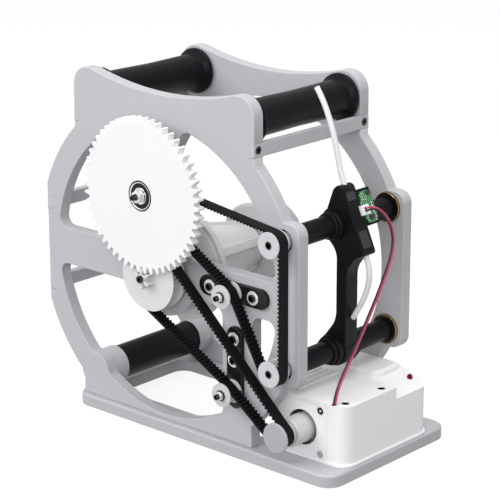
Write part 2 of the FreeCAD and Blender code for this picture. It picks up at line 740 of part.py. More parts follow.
def rod_bearing_y(front):
    """Start of a rod bearing, which stands a little proud of its plate's inner face."""
    if front:
        return FRONT_Y[1] + BEARING_PROUD - BEARING_W
    return REAR_Y[0] - BEARING_PROUD


def make_guide_rod(z):
    """Rod body with a journal at each end; the front journal reaches into its pulley."""
    body_y = (FRONT_Y[1] + BEARING_PROUD + 0.3, REAR_Y[0] - BEARING_PROUD - 0.3)
    body = rod_y(ROD_X, z, ROD_R, body_y)
    body = body.makeChamfer(0.8, [edge for edge in body.Edges if edge.Curve.TypeId == "Part::GeomCircle"])
    journal = rod_y(ROD_X, z, BEARING_BORE_R, (-13.8, REAR_Y[0] + 4.5))
    thread = rod_y(ROD_X, z, 1.5, (-15, -6.0))
    return body.fuse(journal).cut(thread)


def make_rod_pulley(z):
    front = rod_y(ROD_X, z, 9.2, (-15.1, -14.2))
    wheel = belt_wheel(ROD_X, z, SMALL_PULLEY_TEETH, (-14.2, -5.2))
    rear = rod_y(ROD_X, z, 9.2, (-5.2, -4.2))
    boss = rod_y(ROD_X, z, 6.0, (-4.2, 4.5))
    body = front.fuse([wheel, rear, boss]).removeSplitter()
    bore = rod_y(ROD_X, z, BEARING_BORE_R + SEAT_FIT, (-13.8, 5.0))
    head_seat = rod_y(ROD_X, z, 2.9 + SEAT_FIT, (-16.0, -13.0))
    return body.cut([bore, head_seat])


def rod_screw(z):
    head = rod_y(ROD_X, z, 2.9, (-15.4, -13.8))
    return head.fuse(rod_y(ROD_X, z, 1.5, (-13.8, -6.0)))


HOLDER_WAY = V(math.sin(HOLDER_TILT), 0, -math.cos(HOLDER_TILT))
HOLDER_OUT = V(math.cos(HOLDER_TILT), 0, math.sin(HOLDER_TILT))


def holder_point(along, out, y):
    """A point placed from the tube holder's top: along its axis, outwards, and at a depth."""
    top = V(HOLDER_TOP[0], 0, HOLDER_TOP[1])
    return top + HOLDER_WAY * along + HOLDER_OUT * out + V(0, y, 0)


def holder_box(along, out, y):
    """A block square to the tube holder, from (low, high) pairs."""
    block = Part.makeBox(out[1] - out[0], y[1] - y[0], along[1] - along[0])
    block.rotate(V(0, 0, 0), DEPTH, 180 - math.degrees(HOLDER_TILT))
    block.translate(holder_point(along[0], out[1], y[0]) - block_corner(block))
    return block


def block_corner(block):
    """The corner of a turned block that lies at its low along, high out and low depth."""
    lowest_y = block.BoundBox.YMin
    corners = [v.Point for v in block.Vertexes if v.Point.y < lowest_y + 0.01]
    return min(corners, key=lambda p: p.dot(HOLDER_WAY) - p.dot(HOLDER_OUT))


def guide_outline(y):
    """The guide's flat outline: a boss round each rod, the neck, and the slanted tube holder."""
    inner_x, outer_x = GUIDE_NECK_X
    neck = box(GUIDE_NECK_X, (y, y + 1), (GUIDE_FOOT_Z, UPPER_ROD_Z))
    low_in = holder_point(HOLDER_LEN, HOLDER_INNER, 0)
    low_out = holder_point(HOLDER_LEN, HOLDER_OUTER, 0)
    top_out = holder_point(0, HOLDER_OUTER, 0)
    holder = [
        GUIDE_TOP_IN, GUIDE_SHOULDER, (ROD_X, UPPER_ROD_Z), (inner_x, GUIDE_WEB_Z[0]),
        (outer_x, GUIDE_WEB_Z[1]), (low_in.x, low_in.z), (low_out.x, low_out.z), (top_out.x, top_out.z),
    ]
    under_upper = UPPER_WEB + [(ROD_X, UPPER_ROD_Z), (outer_x, UPPER_ROD_Z)]
    over_lower = LOWER_WEB + [(ROD_X, LOWER_ROD_Z), (outer_x, LOWER_ROD_Z)]
    solids = [prism_y(web, (y, y + 1)) for web in (holder, under_upper, over_lower)]
    solids += [rod_y(ROD_X, z, GUIDE_BOSS_R, (y, y + 1)) for z in (LOWER_ROD_Z, UPPER_ROD_Z)]
    joined = neck.fuse(solids).removeSplitter()
    face = [face for face in joined.Faces if face.BoundBox.YMax < y + 0.01][0]
    hollows = face.makeOffset2D(GUIDE_HOLLOW_R).makeOffset2D(-GUIDE_HOLLOW_R)
    return hollows.makeOffset2D(-GUIDE_CORNER_R).makeOffset2D(GUIDE_CORNER_R)


def make_guide_body():
    """One flat moulding across both rods, with a collar and a bush on each side of it."""
    face = guide_outline(GUIDE_Y[0])
    body = face.extrude(V(0, GUIDE_Y[1] - GUIDE_Y[0], 0))
    rims = [edge for edge in body.Edges if edge.BoundBox.YLength < 0.01]
    body = body.makeChamfer(GUIDE_CHAMFER, rims)
    scoop = Part.makeCylinder(SCOOP_R, SCOOP_DEEP, holder_point(*SCOOP_PLACE), DEPTH)
    body = body.cut(scoop)
    shelf = holder_box(SHELF_ALONG, (SHELF_INNER, BOARD_OUT[0]), (HOLDER_Y, SHELF_END_Y))
    sleeves = [
        rod_y(ROD_X, UPPER_ROD_Z, UPPER_COLLAR_R, COLLAR_Y),
        rod_y(ROD_X, LOWER_ROD_Z, LOWER_COLLAR_R, COLLAR_Y),
        rod_y(ROD_X, UPPER_ROD_Z, BUSH_R, UPPER_BUSH_Y),
        rod_y(ROD_X, LOWER_ROD_Z, BUSH_R, LOWER_BUSH_Y),
    ]
    body = body.fuse(sleeves + [shelf]).removeSplitter()
    far = (0, 130)
    start = holder_point(-10, GUIDE_TUBE_OUT, HOLDER_Y)
    cuts = [
        rod_y(ROD_X, UPPER_ROD_Z, ROD_R + RUN_FIT, far),
        rod_y(ROD_X, LOWER_ROD_Z, ROD_R + RUN_FIT, far),
        Part.makeCylinder(GUIDE_TUBE_R + SEAT_FIT, HOLDER_LEN + 20, start, HOLDER_WAY),
    ]
    return body.cut(cuts)


# Cords: straight runs joined by tangent arcs

def cord_path(points):
    """Wire through the route, with an arc at each inner point as large as its two runs allow."""
    edges = []
    radii = []
    last = points[0]
    for before, corner, after in zip(points, points[1:], points[2:]):
        back = before - corner
        onward = after - corner
        reach = 0.45 * min(back.Length, onward.Length)
        half_turn = (math.pi - back.getAngle(onward)) / 2
        radii.append(reach / math.tan(half_turn))
        back.normalize()
        onward.normalize()
        start = corner + back * reach
        end = corner + onward * reach
        middle_way = (back + onward).normalize()
        middle = corner + middle_way * (radii[-1] / math.cos(half_turn) - radii[-1])
        edges.append(Part.makeLine(last, start))
        edges.append(Part.Arc(start, middle, end).toShape())
        last = end
    edges.append(Part.makeLine(last, points[-1]))
    return Part.Wire(edges), radii


def cord_tube(name, points, radius):
    """Solid round tube along a route, with its smallest bend and its volume printed."""
    path, radii = cord_path(points)
    section = Part.Wire(Part.makeCircle(radius, points[0], (points[1] - points[0])))
    tube = path.makePipeShell([section], True, False)
    expected = math.pi * radius ** 2 * path.Length
    print(name, "length", round(path.Length, 1), "smallest bend", round(min(radii), 1),
          "volume", round(tube.Volume, 1), "of", round(expected, 1))
    return tube


def guide_tube_route():
    top = [V(x, HOLDER_Y, z) for x, z in GUIDE_TUBE_TOP]
    inside = [holder_point(s, GUIDE_TUBE_OUT, HOLDER_Y) for s in GUIDE_TUBE_TURN]
    end = [V(x, HOLDER_Y, z) for x, z in GUIDE_TUBE_END]
    return top + inside + end


def wire_route(side):
    """Route of one of the two sensor wires, from the board's plug to the box."""
    along, y = WIRE_START
    points = [holder_point(along, out, y) for out in (PLUG_OUT, PLUG_OUT + WIRE_CLEAR)]
    points += [V(x, y, z) for x, y, z in WIRE_ROUTE]
    across = V(1, 0, 0)
    turning = (HOLDER_WAY + across).normalize()
    apart = [HOLDER_WAY, HOLDER_WAY, turning] + [across] * (len(points) - 3)
    return [p + way * (side * WIRE_SPACING / 2) for p, way in zip(points, apart)]


# Drive box

def make_box_tray():
    """Floor of the box, a little larger than the cover, with a saddle under the motor."""
    x = (BOX_X[0] - TRAY_LIP, BOX_X[1] + TRAY_LIP)
    y = (BOX_Y[0] - TRAY_LIP, BOX_Y[1] + TRAY_LIP)
    floor = box(x, y, (BASE_T, BASE_T + TRAY_T))
    floor = round_edges(floor, BOX_CORNER_R, V(0, 0, 1))
    saddle = box((MOTOR_X - 9, MOTOR_X + 9), (30, 62), (BASE_T + TRAY_T, MOTOR_Z - 4))
    saddle = saddle.cut(rod_y(MOTOR_X, MOTOR_Z, MOTOR_R + SEAT_FIT, (20, 70)))
    return floor.fuse(saddle)


def cover_block(inset):
    """The cover's form, shrunk by a wall thickness where inset is positive."""
    x = (BOX_X[0] + inset, BOX_X[1] - inset)
    y = (BOX_Y[0] + inset, BOX_Y[1] - inset)
    z0 = BASE_T + TRAY_T
    top = BOX_TOP_Z - inset
    low = BOX_LOW_Z - inset
    block = box(x, y, (z0 - (1 if inset else 0), top))
    block = round_edges(block, BOX_CORNER_R - inset, V(0, 0, 1))
    lean = (top - low) / (x[1] - BOX_SLOPE_X)
    slope = prism_y([(BOX_SLOPE_X, top), (x[1] + 5, low - 5 * lean), (x[1] + 5, top + 5)],
                    (BOX_STEP_Y - inset, BOX_Y[1] + 1))
    return block.cut(slope)


def make_box_cover():
    """Moulded cover with vent ridges, a raised pad at the back and a sloped corner for the lamp."""
    cover = cover_block(0)
    pad = box(PAD_X, PAD_Y, (BOX_TOP_Z - 4, BOX_TOP_Z + PAD_RISE))
    pad = round_edges(pad, 6, V(0, 0, 1))
    pad_top = [edge for edge in pad.Edges if edge.BoundBox.ZMin > BOX_TOP_Z + PAD_RISE - 0.1]
    pad = pad.makeFillet(2.4, pad_top)
    ridges = [box((x, x + VENT_W), VENT_Y, (BOX_TOP_Z - 1, BOX_TOP_Z + VENT_RISE)) for x in VENT_X]
    cover = cover.fuse([pad] + ridges).cut(cover_block(BOX_WALL))
    deep = (BOX_Y[0] - 1, BOX_Y[0] + BOX_WALL + 1)
    panel_seat = box(PANEL_X, (BOX_Y[0] - 1, BOX_Y[0] + PANEL_T), PANEL_Z)
    notch_y = (BOX_Y[0] - 1, BOX_Y[0] + WIRE_NOTCH_DEPTH)
    cuts = [
        panel_seat,
        rod_y(MOTOR_X, MOTOR_Z, MOTOR_HOLE_R, deep),
        box(WIRE_NOTCH_X, notch_y, (BOX_TOP_Z - BOX_WALL - 0.5, BOX_TOP_Z + 1)),
        rod_z(*LAMP_PLACE, LAMP_R, (BOX_LOW_Z - 6, BOX_TOP_Z)),
        rod_y(*SOCKET_PLACE, POWER_R + SEAT_FIT, (BOX_Y[1] - BOX_WALL - 1, BOX_Y[1] + 1)),
    ]
    screw_y = (BOX_Y[0], BOX_Y[0] + BOX_WALL + 1)
    cuts += [rod_y(x, z, SMALL_SHANK_R, screw_y) for x, z in panel_screw_places()]
    for x, y in LID_SCREWS:
        cuts.append(rod_z(x, y, SMALL_HEAD_R + 0.4, (BOX_TOP_Z - 1.4, BOX_TOP_Z + 1)))
        cuts.append(rod_z(x, y, SMALL_SHANK_R, (BOX_TOP_Z - BOX_WALL - 1, BOX_TOP_Z)))
    return cover.cut(cuts)


def panel_screw_places():
    """The panel hooks in on its left side and two screws hold its right side."""
    reach_x, reach_z = PANEL_SCREW_REACH
    return [(MOTOR_X + reach_x, MOTOR_Z - 0.3 + side * reach_z) for side in (-1, 1)]


def make_motor_panel():
    """Front panel with the round opening that the motor comes through."""
    panel = box(PANEL_X, (BOX_Y[0], BOX_Y[0] + PANEL_T), PANEL_Z)
    cuts = [rod_y(MOTOR_X, MOTOR_Z, MOTOR_HOLE_R, (BOX_Y[0] - 1, BOX_Y[0] + PANEL_T + 1))]
    for x, z in panel_screw_places():
        cuts.append(rod_y(x, z, SMALL_HEAD_R + 0.3, (BOX_Y[0] - 1, BOX_Y[0] + 0.8)))
        cuts.append(rod_y(x, z, SMALL_SHANK_R, (BOX_Y[0] - 1, BOX_Y[0] + PANEL_T + 1)))
    return panel.cut(cuts)


def panel_screw(x, z):
    head = rod_y(x, z, SMALL_HEAD_R, (BOX_Y[0] - 0.2, BOX_Y[0] + 0.8))
    return head.fuse(rod_y(x, z, SMALL_SHANK_R, (BOX_Y[0] + 0.8, BOX_Y[0] + BOX_WALL + 0.5)))


def lid_screw(x, y):
    head = rod_z(x, y, SMALL_HEAD_R, (BOX_TOP_Z - 1.4, BOX_TOP_Z - 0.4))
    return head.fuse(rod_z(x, y, SMALL_SHANK_R, (BOX_TOP_Z - BOX_WALL, BOX_TOP_Z - 1.4)))


def make_motor():
    """Gear motor: gearbox end through the panel, can behind it, with a bore for the output shaft."""
    y0, y1 = MOTOR_Y
    joint = y0 + 30
    body = lathe_y(MOTOR_X, MOTOR_Z, [
        (y0, 0), (y0, MOTOR_R - 0.3), (y0 + 0.3, MOTOR_R), (joint, MOTOR_R), (joint, MOTOR_R - 0.4),
        (y1 - 2, MOTOR_R - 0.4), (y1 - 2, 5.0), (y1, 5.0), (y1, 0),
    ])
    return body.cut(rod_y(MOTOR_X, MOTOR_Z, 2.0 + RUN_FIT, (y0 - 1, 8)))


def make_motor_pulley():
    cap = lathe_y(MOTOR_X, MOTOR_Z, [(-15.9, 0), (-15.9, 10.2), (-15.3, 10.8), (-14.3, 10.8), (-14.3, 0)])
    wheel = belt_wheel(MOTOR_X, MOTOR_Z, MOTOR_PULLEY_TEETH, (-14.3, -4.4))
    rear = rod_y(MOTOR_X, MOTOR_Z, 8.2, (-4.4, -3.2))
    body = cap.fuse([wheel, rear]).removeSplitter()
    return body.cut(rod_y(MOTOR_X, MOTOR_Z, 2.0 + SEAT_FIT, (-13.0, -3.0)))


def make_status_lamp():
    """Domed lamp standing up through the sloped corner."""
    seat_z = 49.2
    x, y = LAMP_PLACE
    stem = rod_z(x, y, LAMP_R - SEAT_FIT, (BOX_LOW_Z - 3.5, seat_z))
    dome = Part.makeSphere(LAMP_R - SEAT_FIT, V(x, y, seat_z), V(0, 0, 1), 0, 90)
    return stem.fuse(dome)


# Plates with their bores

def cut_front_plate():
    plate = make_plate(FRONT_Y, front_spokes)
    past = FRONT_Y[1] + 1
    cuts = [
        rod_y(0, AXLE_Z, BEARING_R + SEAT_FIT, (PLATE_T - BEARING_W, past)),
        rod_y(0, AXLE_Z, CLEARANCE_R, (-1, past)),
        rod_y(0, GEAR_Z, BEARING_BORE_R + SEAT_FIT, (-1, past)),
        hexagon_y(0, GEAR_Z, 13.1, (4.5, past)),
        rod_y(TUBE_X, TUBE_Z, SPIGOT_R + SEAT_FIT, (FRONT_Y[1] - SPIGOT_LEN, past)),
    ]
    seat_y = (PLATE_T - AXLE_SEAT, past)
    cuts += [rod_y(x, ROLLER_Z, ROLLER_AXLE_R + SEAT_FIT, seat_y) for x in (-ROLLER_X, ROLLER_X)]
    for z in (LOWER_ROD_Z, UPPER_ROD_Z):
        cuts.append(rod_y(ROD_X, z, BEARING_R + SEAT_FIT, (rod_bearing_y(True), past)))
        cuts.append(rod_y(ROD_X, z, CLEARANCE_R, (-1, past)))
    upper = [(x, UPPER_IDLER[1]) for x in UPPER_LOCK_X] + [UPPER_IDLER]
    lower = [(LOWER_IDLER[0], z) for z in LOWER_LOCK_Z] + [LOWER_IDLER]
    cuts += tensioner_slots(upper, (1, 0))
    cuts += tensioner_slots(lower, (0, 1))
    return plate.cut(cuts + shared_screw_holes())


def cut_rear_plate():
    plate = make_plate(REAR_Y, rear_spokes)
    near = REAR_Y[0] - 1
    cuts = [
        rod_y(0, AXLE_Z, BEARING_R + SEAT_FIT, (near, REAR_Y[0] + BEARING_W)),
        rod_y(0, AXLE_Z, CLEARANCE_R, (near, REAR_Y[1] + 1)),
        rod_y(TUBE_X, TUBE_Z, SPIGOT_R + SEAT_FIT, (near, REAR_Y[0] + SPIGOT_LEN)),
    ]
    seat_y = (near, REAR_Y[0] + AXLE_SEAT)
    cuts += [rod_y(x, ROLLER_Z, ROLLER_AXLE_R + SEAT_FIT, seat_y) for x in (-ROLLER_X, ROLLER_X)]
    for z in (LOWER_ROD_Z, UPPER_ROD_Z):
        cuts.append(rod_y(ROD_X, z, BEARING_R + SEAT_FIT, (near, rod_bearing_y(False) + BEARING_W)))
    return plate.cut(cuts + shared_screw_holes())


def shared_screw_holes():
    holes = [crossbar_screw(face, way, y, z, SEAT_FIT) for face, way, y, z in crossbar_screw_places()]
    return holes + [base_screw(x, y, SEAT_FIT) for x, y in base_screw_places()]


# Writing every node

def save_frame():
    save("base_plate", make_base())
    save("front_plate", cut_front_plate())
    save("rear_plate", cut_rear_plate())
    screw_holes = [crossbar_screw(face, way, y, z, SEAT_FIT) for face, way, y, z in crossbar_screw_places()]
    for name, x, z in crossbar_boxes():
        save(name, box(x, (FRONT_Y[0], REAR_Y[1]), z).cut(screw_holes))
    save("crossbar_screws", *[crossbar_screw(*place) for place in crossbar_screw_places()])
    save("base_screws", *[base_screw(x, y) for x, y in base_screw_places()])
    save("tube_sockets", make_socket(FRONT_Y[1], 1), make_socket(REAR_Y[0], -1))
    tube_y = (FRONT_Y[1] + SOCKET_OUT - SOCKET_SEAT, REAR_Y[0] - SOCKET_OUT + SOCKET_SEAT)
    save("lower_spacer_tube", ring_y(TUBE_X, TUBE_Z, TUBE_R, TUBE_BORE_R, tube_y))


def save_rollers():
    axle_y = (FRONT_Y[1] - AXLE_SEAT, REAR_Y[0] + AXLE_SEAT)
    save("roller_axles", *[rod_y(x, ROLLER_Z, ROLLER_AXLE_R, axle_y) for x in (-ROLLER_X, ROLLER_X)])
    save("top_roller_left", make_roller(-ROLLER_X))
    save("top_roller_right", make_roller(ROLLER_X))


def save_spool_drive():
    save("spool_bearings", bearing(0, AXLE_Z, FRONT_Y[1] - BEARING_W), bearing(0, AXLE_Z, REAR_Y[0]))
    axle = rod_y(0, AXLE_Z, BEARING_BORE_R, (-13.0, REAR_Y[1] - 0.6))
    save("spool_axle", axle.cut(rod_y(0, AXLE_Z, 1.5, (-14.0, -2.0))))
    save("pinion_pulley", make_pinion_pulley())
    head = rod_y(0, AXLE_Z, 2.75, (PINION_FRONT_Y - 2.0, PINION_FRONT_Y))
    save("axle_screw", head.fuse(rod_y(0, AXLE_Z, 1.5, (PINION_FRONT_Y, -2.0))))
    save("spool_hub", make_spool_hub(), make_hub_clamp())


def save_gear():
    save("gear_stud", make_gear_stud())
    washer = ring_y(0, GEAR_Z, 5.3, 2.2, (GEAR_Y[0] - 1.1, GEAR_Y[0] - 0.3))
    nut = hexagon_y(0, GEAR_Z, 8.0, (GEAR_Y[0] - 4.3, GEAR_Y[0] - 1.1))
    nut = nut.cut(rod_y(0, GEAR_Z, 2.2, (-30, -20)))
    save("gear_nut", washer.fuse(nut))
    save("drive_gear", make_gear())
    save("gear_bearing", bearing(0, GEAR_Z, GEAR_Y[0]))
    save("gear_pulley", make_gear_pulley())


def save_belts():
    big = pitch_radius(BIG_PULLEY_TEETH)
    small = pitch_radius(SMALL_PULLEY_TEETH)
    motor = pitch_radius(MOTOR_PULLEY_TEETH)
    save("drive_belt", make_belt([
        (0, AXLE_Z, big, 1),
        (LOWER_IDLER[0], LOWER_IDLER[1], IDLER_BELT_R, -1),
        (MOTOR_X, MOTOR_Z, motor, 1),
    ]))
    save("guide_belt", make_belt([
        (0, GEAR_Z, small, 1),
        (UPPER_IDLER[0], UPPER_IDLER[1], IDLER_BELT_R, -1),
        (ROD_X, LOWER_ROD_Z, small, 1),
        (ROD_X, UPPER_ROD_Z, small, 1),
    ]))


def save_tensioner(name, bar_x, bar_z, wheel, locks):
    save(name + "_tensioner_bar", make_tensioner_bar(bar_x, bar_z, locks + [wheel]))
    save(name + "_tensioner_screws", *[lock_screw(x, z) for x, z in locks])
    save(name + "_idler_bolt", idler_bolt(*wheel), idler_nut(*wheel))
    save(name + "_idler", idler(*wheel))


def save_tensioners():
    half = TENSIONER_W / 2
    upper_z = (UPPER_IDLER[1] - half, UPPER_IDLER[1] + half)
    upper_locks = [(x, UPPER_IDLER[1]) for x in UPPER_LOCK_X]
    save_tensioner("upper", UPPER_BAR_X, upper_z, UPPER_IDLER, upper_locks)
    lower_x = (LOWER_IDLER[0] - half, LOWER_IDLER[0] + half)
    lower_locks = [(LOWER_IDLER[0], z) for z in LOWER_LOCK_Z]
    save_tensioner("lower", lower_x, LOWER_BAR_Z, LOWER_IDLER, lower_locks)


def save_rods():
    for name, z in (("upper", UPPER_ROD_Z), ("lower", LOWER_ROD_Z)):
        pair = [bearing(ROD_X, z, rod_bearing_y(front)) for front in (True, False)]
        save(name + "_rod_bearings", *pair)
        save(name + "_guide_rod", make_guide_rod(z))
        save(name + "_rod_pulley", make_rod_pulley(z))
        save(name + "_rod_screw", rod_screw(z))


def save_guide():
    save("guide_body", make_guide_body())
    save("sensor_board", holder_box(BOARD_ALONG, BOARD_OUT, BOARD_Y))
    save("sensor_plug", holder_box(PLUG_ALONG, (BOARD_OUT[1], PLUG_OUT), PLUG_Y))
    save("guide_tube", cord_tube("guide_tube", guide_tube_route(), GUIDE_TUBE_R))


def save_wires():
    notch_y = (BOX_Y[0], BOX_Y[0] + WIRE_NOTCH_DEPTH)
    save("wire_grommet", box(WIRE_NOTCH_X, notch_y, (BOX_TOP_Z - BOX_WALL, BOX_TOP_Z + 0.3)))
    for name, side in (("red", -1), ("black", 1)):
        save("sensor_wire_" + name, cord_tube("sensor_wire_" + name, wire_route(side), WIRE_R))


def save_drive_box():
    save("box_tray", make_box_tray())
    save("box_cover", make_box_cover())
    save("motor_panel", make_motor_panel())
    save("panel_screws", *[panel_screw(x, z) for x, z in panel_screw_places()])
    save("cover_screws", *[lid_screw(x, y) for x, y in LID_SCREWS])
    save("gear_motor", make_motor())
    save("motor_shaft", rod_y(MOTOR_X, MOTOR_Z, 2.0, (-13.0, 6.0)))
    save("motor_pulley", make_motor_pulley())
    save("control_board", box((136, 152), (30, 96), (14, 15.6)))
    save("status_lamp", make_status_lamp())
    socket = rod_y(*SOCKET_PLACE, POWER_R, (BOX_Y[1] - 12, BOX_Y[1] + 0.2))
    save("power_socket", socket.cut(rod_y(*SOCKET_PLACE, POWER_R - 1.2, (BOX_Y[1] - 9, BOX_Y[1] + 1))))


os.makedirs("parts", exist_ok=True)
save_frame()
save_rollers()
save_spool_drive()
save_gear()
save_belts()
save_tensioners()
save_rods()
save_guide()
save_wires()
save_drive_box()
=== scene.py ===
import bpy
import bmesh
import json
import math
from mathutils import Matrix, Vector

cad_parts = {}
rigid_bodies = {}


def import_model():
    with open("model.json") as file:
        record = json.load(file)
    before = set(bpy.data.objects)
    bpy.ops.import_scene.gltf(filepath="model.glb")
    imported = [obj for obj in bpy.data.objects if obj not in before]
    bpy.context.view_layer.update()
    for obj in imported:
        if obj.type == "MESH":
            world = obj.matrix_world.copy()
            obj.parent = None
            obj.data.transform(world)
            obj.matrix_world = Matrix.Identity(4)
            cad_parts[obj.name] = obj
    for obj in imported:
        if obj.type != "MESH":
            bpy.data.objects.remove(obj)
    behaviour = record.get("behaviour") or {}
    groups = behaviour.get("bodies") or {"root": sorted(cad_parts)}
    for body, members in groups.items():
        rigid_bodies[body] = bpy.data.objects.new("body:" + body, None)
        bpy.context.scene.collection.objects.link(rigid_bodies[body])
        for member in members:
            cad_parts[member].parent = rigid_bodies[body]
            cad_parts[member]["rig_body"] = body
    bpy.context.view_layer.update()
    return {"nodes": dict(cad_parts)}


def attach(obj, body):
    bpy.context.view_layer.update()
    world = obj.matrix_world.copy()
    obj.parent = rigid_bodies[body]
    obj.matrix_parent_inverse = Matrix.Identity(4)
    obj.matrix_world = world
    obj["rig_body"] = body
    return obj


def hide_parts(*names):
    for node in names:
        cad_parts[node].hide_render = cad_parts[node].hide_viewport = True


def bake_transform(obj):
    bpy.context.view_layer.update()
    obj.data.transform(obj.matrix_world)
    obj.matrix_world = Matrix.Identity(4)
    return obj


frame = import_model()
nodes = frame["nodes"]

# Everything is drawn in millimetres, with the spool axis at x 0, the front plate's front face at y 0
# and the floor at z 0. TO_METRES takes a drawing to its place among the CAD nodes.
MM = 0.001
TO_METRES = Matrix.Scale(MM, 4) @ Matrix.Translation((-20.325, -49.25, 0.0))
TO_DRAWING = TO_METRES.inverted()

UP, ACROSS, DEEP = (0.0, 0.0, 1.0), (1.0, 0.0, 0.0), (0.0, 1.0, 0.0)
DOWN, LEFT, FRONT = (0.0, 0.0, -1.0), (-1.0, 0.0, 0.0), (0.0, -1.0, 0.0)
BACK = DEEP

# Centre lines along the depth, as (x, z)
SPOOL = (0.0, 120.0)
GEAR = (0.0, 180.0)
MOTOR = (119.5, 30.7)
UPPER_ROD = (112.9, 165.2)
LOWER_ROD = (112.9, 74.8)
UPPER_IDLER = (70.6, 120.6)
LOWER_IDLER = (70.6, 49.5)

# Degrees by which an edge has to turn to count as a corner
CORNER = 30.0

# Sides of a round loop and of a hexagonal one
ROUND, HEX = 24, 6


def placed(name, data):
    """A new object in the scene."""
    made = bpy.data.objects.new(name, data)
    bpy.context.scene.collection.objects.link(made)
    return made


def mesh_from(name, bm):
    """A drawing as a mesh; the drawing is used up."""
    mesh = bpy.data.meshes.new(name)
    bm.to_mesh(mesh)
    bm.free()
    return mesh


def new_material(name):
    """A material with its node tree and its surface node."""
    material = bpy.data.materials.new(name)
    material.use_nodes = True
    return material, material.node_tree, material.node_tree.nodes["Principled BSDF"]


# Camera at the photograph's angle

def make_camera():
    """A long lens, as high, as near and as level as the photograph's straight edges ask for."""
    place = Matrix.Translation((0.897725, -0.97641, 0.53137))
    azimuth, elevation, roll = math.radians(42.0), math.radians(16.87), math.radians(-0.15)
    level = math.cos(elevation)
    back = Vector((math.sin(azimuth) * level, -math.cos(azimuth) * level, math.sin(elevation)))
    right = Vector((math.cos(azimuth), math.sin(azimuth), 0.0))
    up = back.cross(right)
    level_right = right * math.cos(roll) + up * math.sin(roll)
    level_up = up * math.cos(roll) - right * math.sin(roll)
    lens = bpy.data.cameras.new("photo_camera")
    lens.sensor_width = 36.0
    lens.lens = 139.08
    camera = placed("photo_camera", lens)
    turn = Matrix((level_right, level_up, back)).transposed().to_4x4()
    camera.matrix_world = place @ turn
    bpy.context.scene.camera = camera


make_camera()


# Shader groups shared by the finishes

SOCKET_KINDS = {1: "NodeSocketFloat", 3: "NodeSocketVector", 4: "NodeSocketColor"}


def new_group(name, inputs, outputs):
    """A node group with inputs as {label: first value} and outputs as labels; only Color is no plain value.

    Gives the tree, its sockets to read from and to write to, and the place on the object.
    """
    tree = bpy.data.node_groups.new(name, "ShaderNodeTree")
    for label, value in inputs.items():
        kind = SOCKET_KINDS[len(value) if isinstance(value, tuple) else 1]
        tree.interface.new_socket(name=label, in_out="INPUT", socket_type=kind).default_value = value
    for label in outputs:
        kind = SOCKET_KINDS[4 if label == "Color" else 1]
        tree.interface.new_socket(name=label, in_out="OUTPUT", socket_type=kind)
    given, out = tree.nodes.new("NodeGroupInput").outputs, tree.nodes.new("NodeGroupOutput").inputs
    return tree, given, out, tree.nodes.new("ShaderNodeTexCoord").outputs["Object"]


def feed(tree, socket, value):
    """Links a socket to another node's output, or sets it to a plain value."""
    if isinstance(value, bpy.types.NodeSocket):
        tree.links.new(value, socket)
    else:
        socket.default_value = value


def operation_node(tree, kind, operation, values):
    """A node that works out one operation on its inputs in turn."""
    node = tree.nodes.new(kind)
    node.operation = operation
    for socket, value in zip(node.inputs, values):
        feed(tree, socket, value)
    return node


def math_node(tree, operation, *values):
    """Plain maths."""
    return operation_node(tree, "ShaderNodeMath", operation, values).outputs[0]


def vector_node(tree, operation, *values):
    """Vector maths; a dot product or a length gives a value, all else a vector."""
    node = operation_node(tree, "ShaderNodeVectorMath", operation, values)
    return node.outputs["Value" if operation in ("DOT_PRODUCT", "LENGTH") else "Vector"]


def noise_node(tree, vector, scale, detail=2.0):
    """Soft noise between 0 and 1."""
    node = tree.nodes.new("ShaderNodeTexNoise")
    node.inputs["Detail"].default_value = detail
    node.inputs["Roughness"].default_value = 0.5
    feed(tree, node.inputs["Vector"], vector)
    feed(tree, node.inputs["Scale"], scale)
    return node.outputs["Fac"]


def mix_colours(tree, factor, first, second):
    """Mixes two colours; the mix node's sockets 6, 7 and 2 are those for colours."""
    node = tree.nodes.new("ShaderNodeMix")
    node.data_type = "RGBA"
    for k, value in ((0, factor), (6, first), (7, second)):
        feed(tree, node.inputs[k], value)
    return node.outputs[2]


def make_mottle():
    """Slight unevenness of a moulded or turned surface: colour, gloss and height."""
    tree, given, out, where = new_group("surface_mottle", {
        "Light": (0.5, 0.5, 0.5, 1.0), "Dark": (0.4, 0.4, 0.4, 1.0), "Roughness": 0.45,
        "Roughness Spread": 0.1, "Patch Scale": 60.0, "Grain Scale": 900.0,
    }, ["Color", "Roughness", "Height"])
    patches = noise_node(tree, where, given["Patch Scale"], detail=3.0)
    grain = noise_node(tree, where, given["Grain Scale"])
    spread = math_node(tree, "MULTIPLY_ADD", patches, 0.7, math_node(tree, "MULTIPLY", grain, 0.3))
    colour = mix_colours(tree, spread, given["Light"], given["Dark"])
    swing = math_node(tree, "SUBTRACT", spread, 0.5)
    gloss = math_node(tree, "MULTIPLY_ADD", swing, given["Roughness Spread"], given["Roughness"])
    tree.links.new(colour, out["Color"])
    tree.links.new(gloss, out["Roughness"])
    tree.links.new(grain, out["Height"])
    return tree


def make_layer_lines():
    """Fine layers of a printed piece, stacked along a direction."""
    tree, given, out, where = new_group("layer_lines", {
        "Stack": (0.0, 0.0, 1.0), "Layers per Metre": 2500.0,
    }, ["Height"])
    along = vector_node(tree, "DOT_PRODUCT", where, given["Stack"])
    turns = math_node(tree, "MULTIPLY", along, given["Layers per Metre"])
    ridge = math_node(tree, "PINGPONG", turns, 0.5)
    waver = noise_node(tree, where, scale=45.0)
    uneven = math_node(tree, "MULTIPLY", ridge, math_node(tree, "ADD", waver, 0.4))
    tree.links.new(uneven, out["Height"])
    return tree


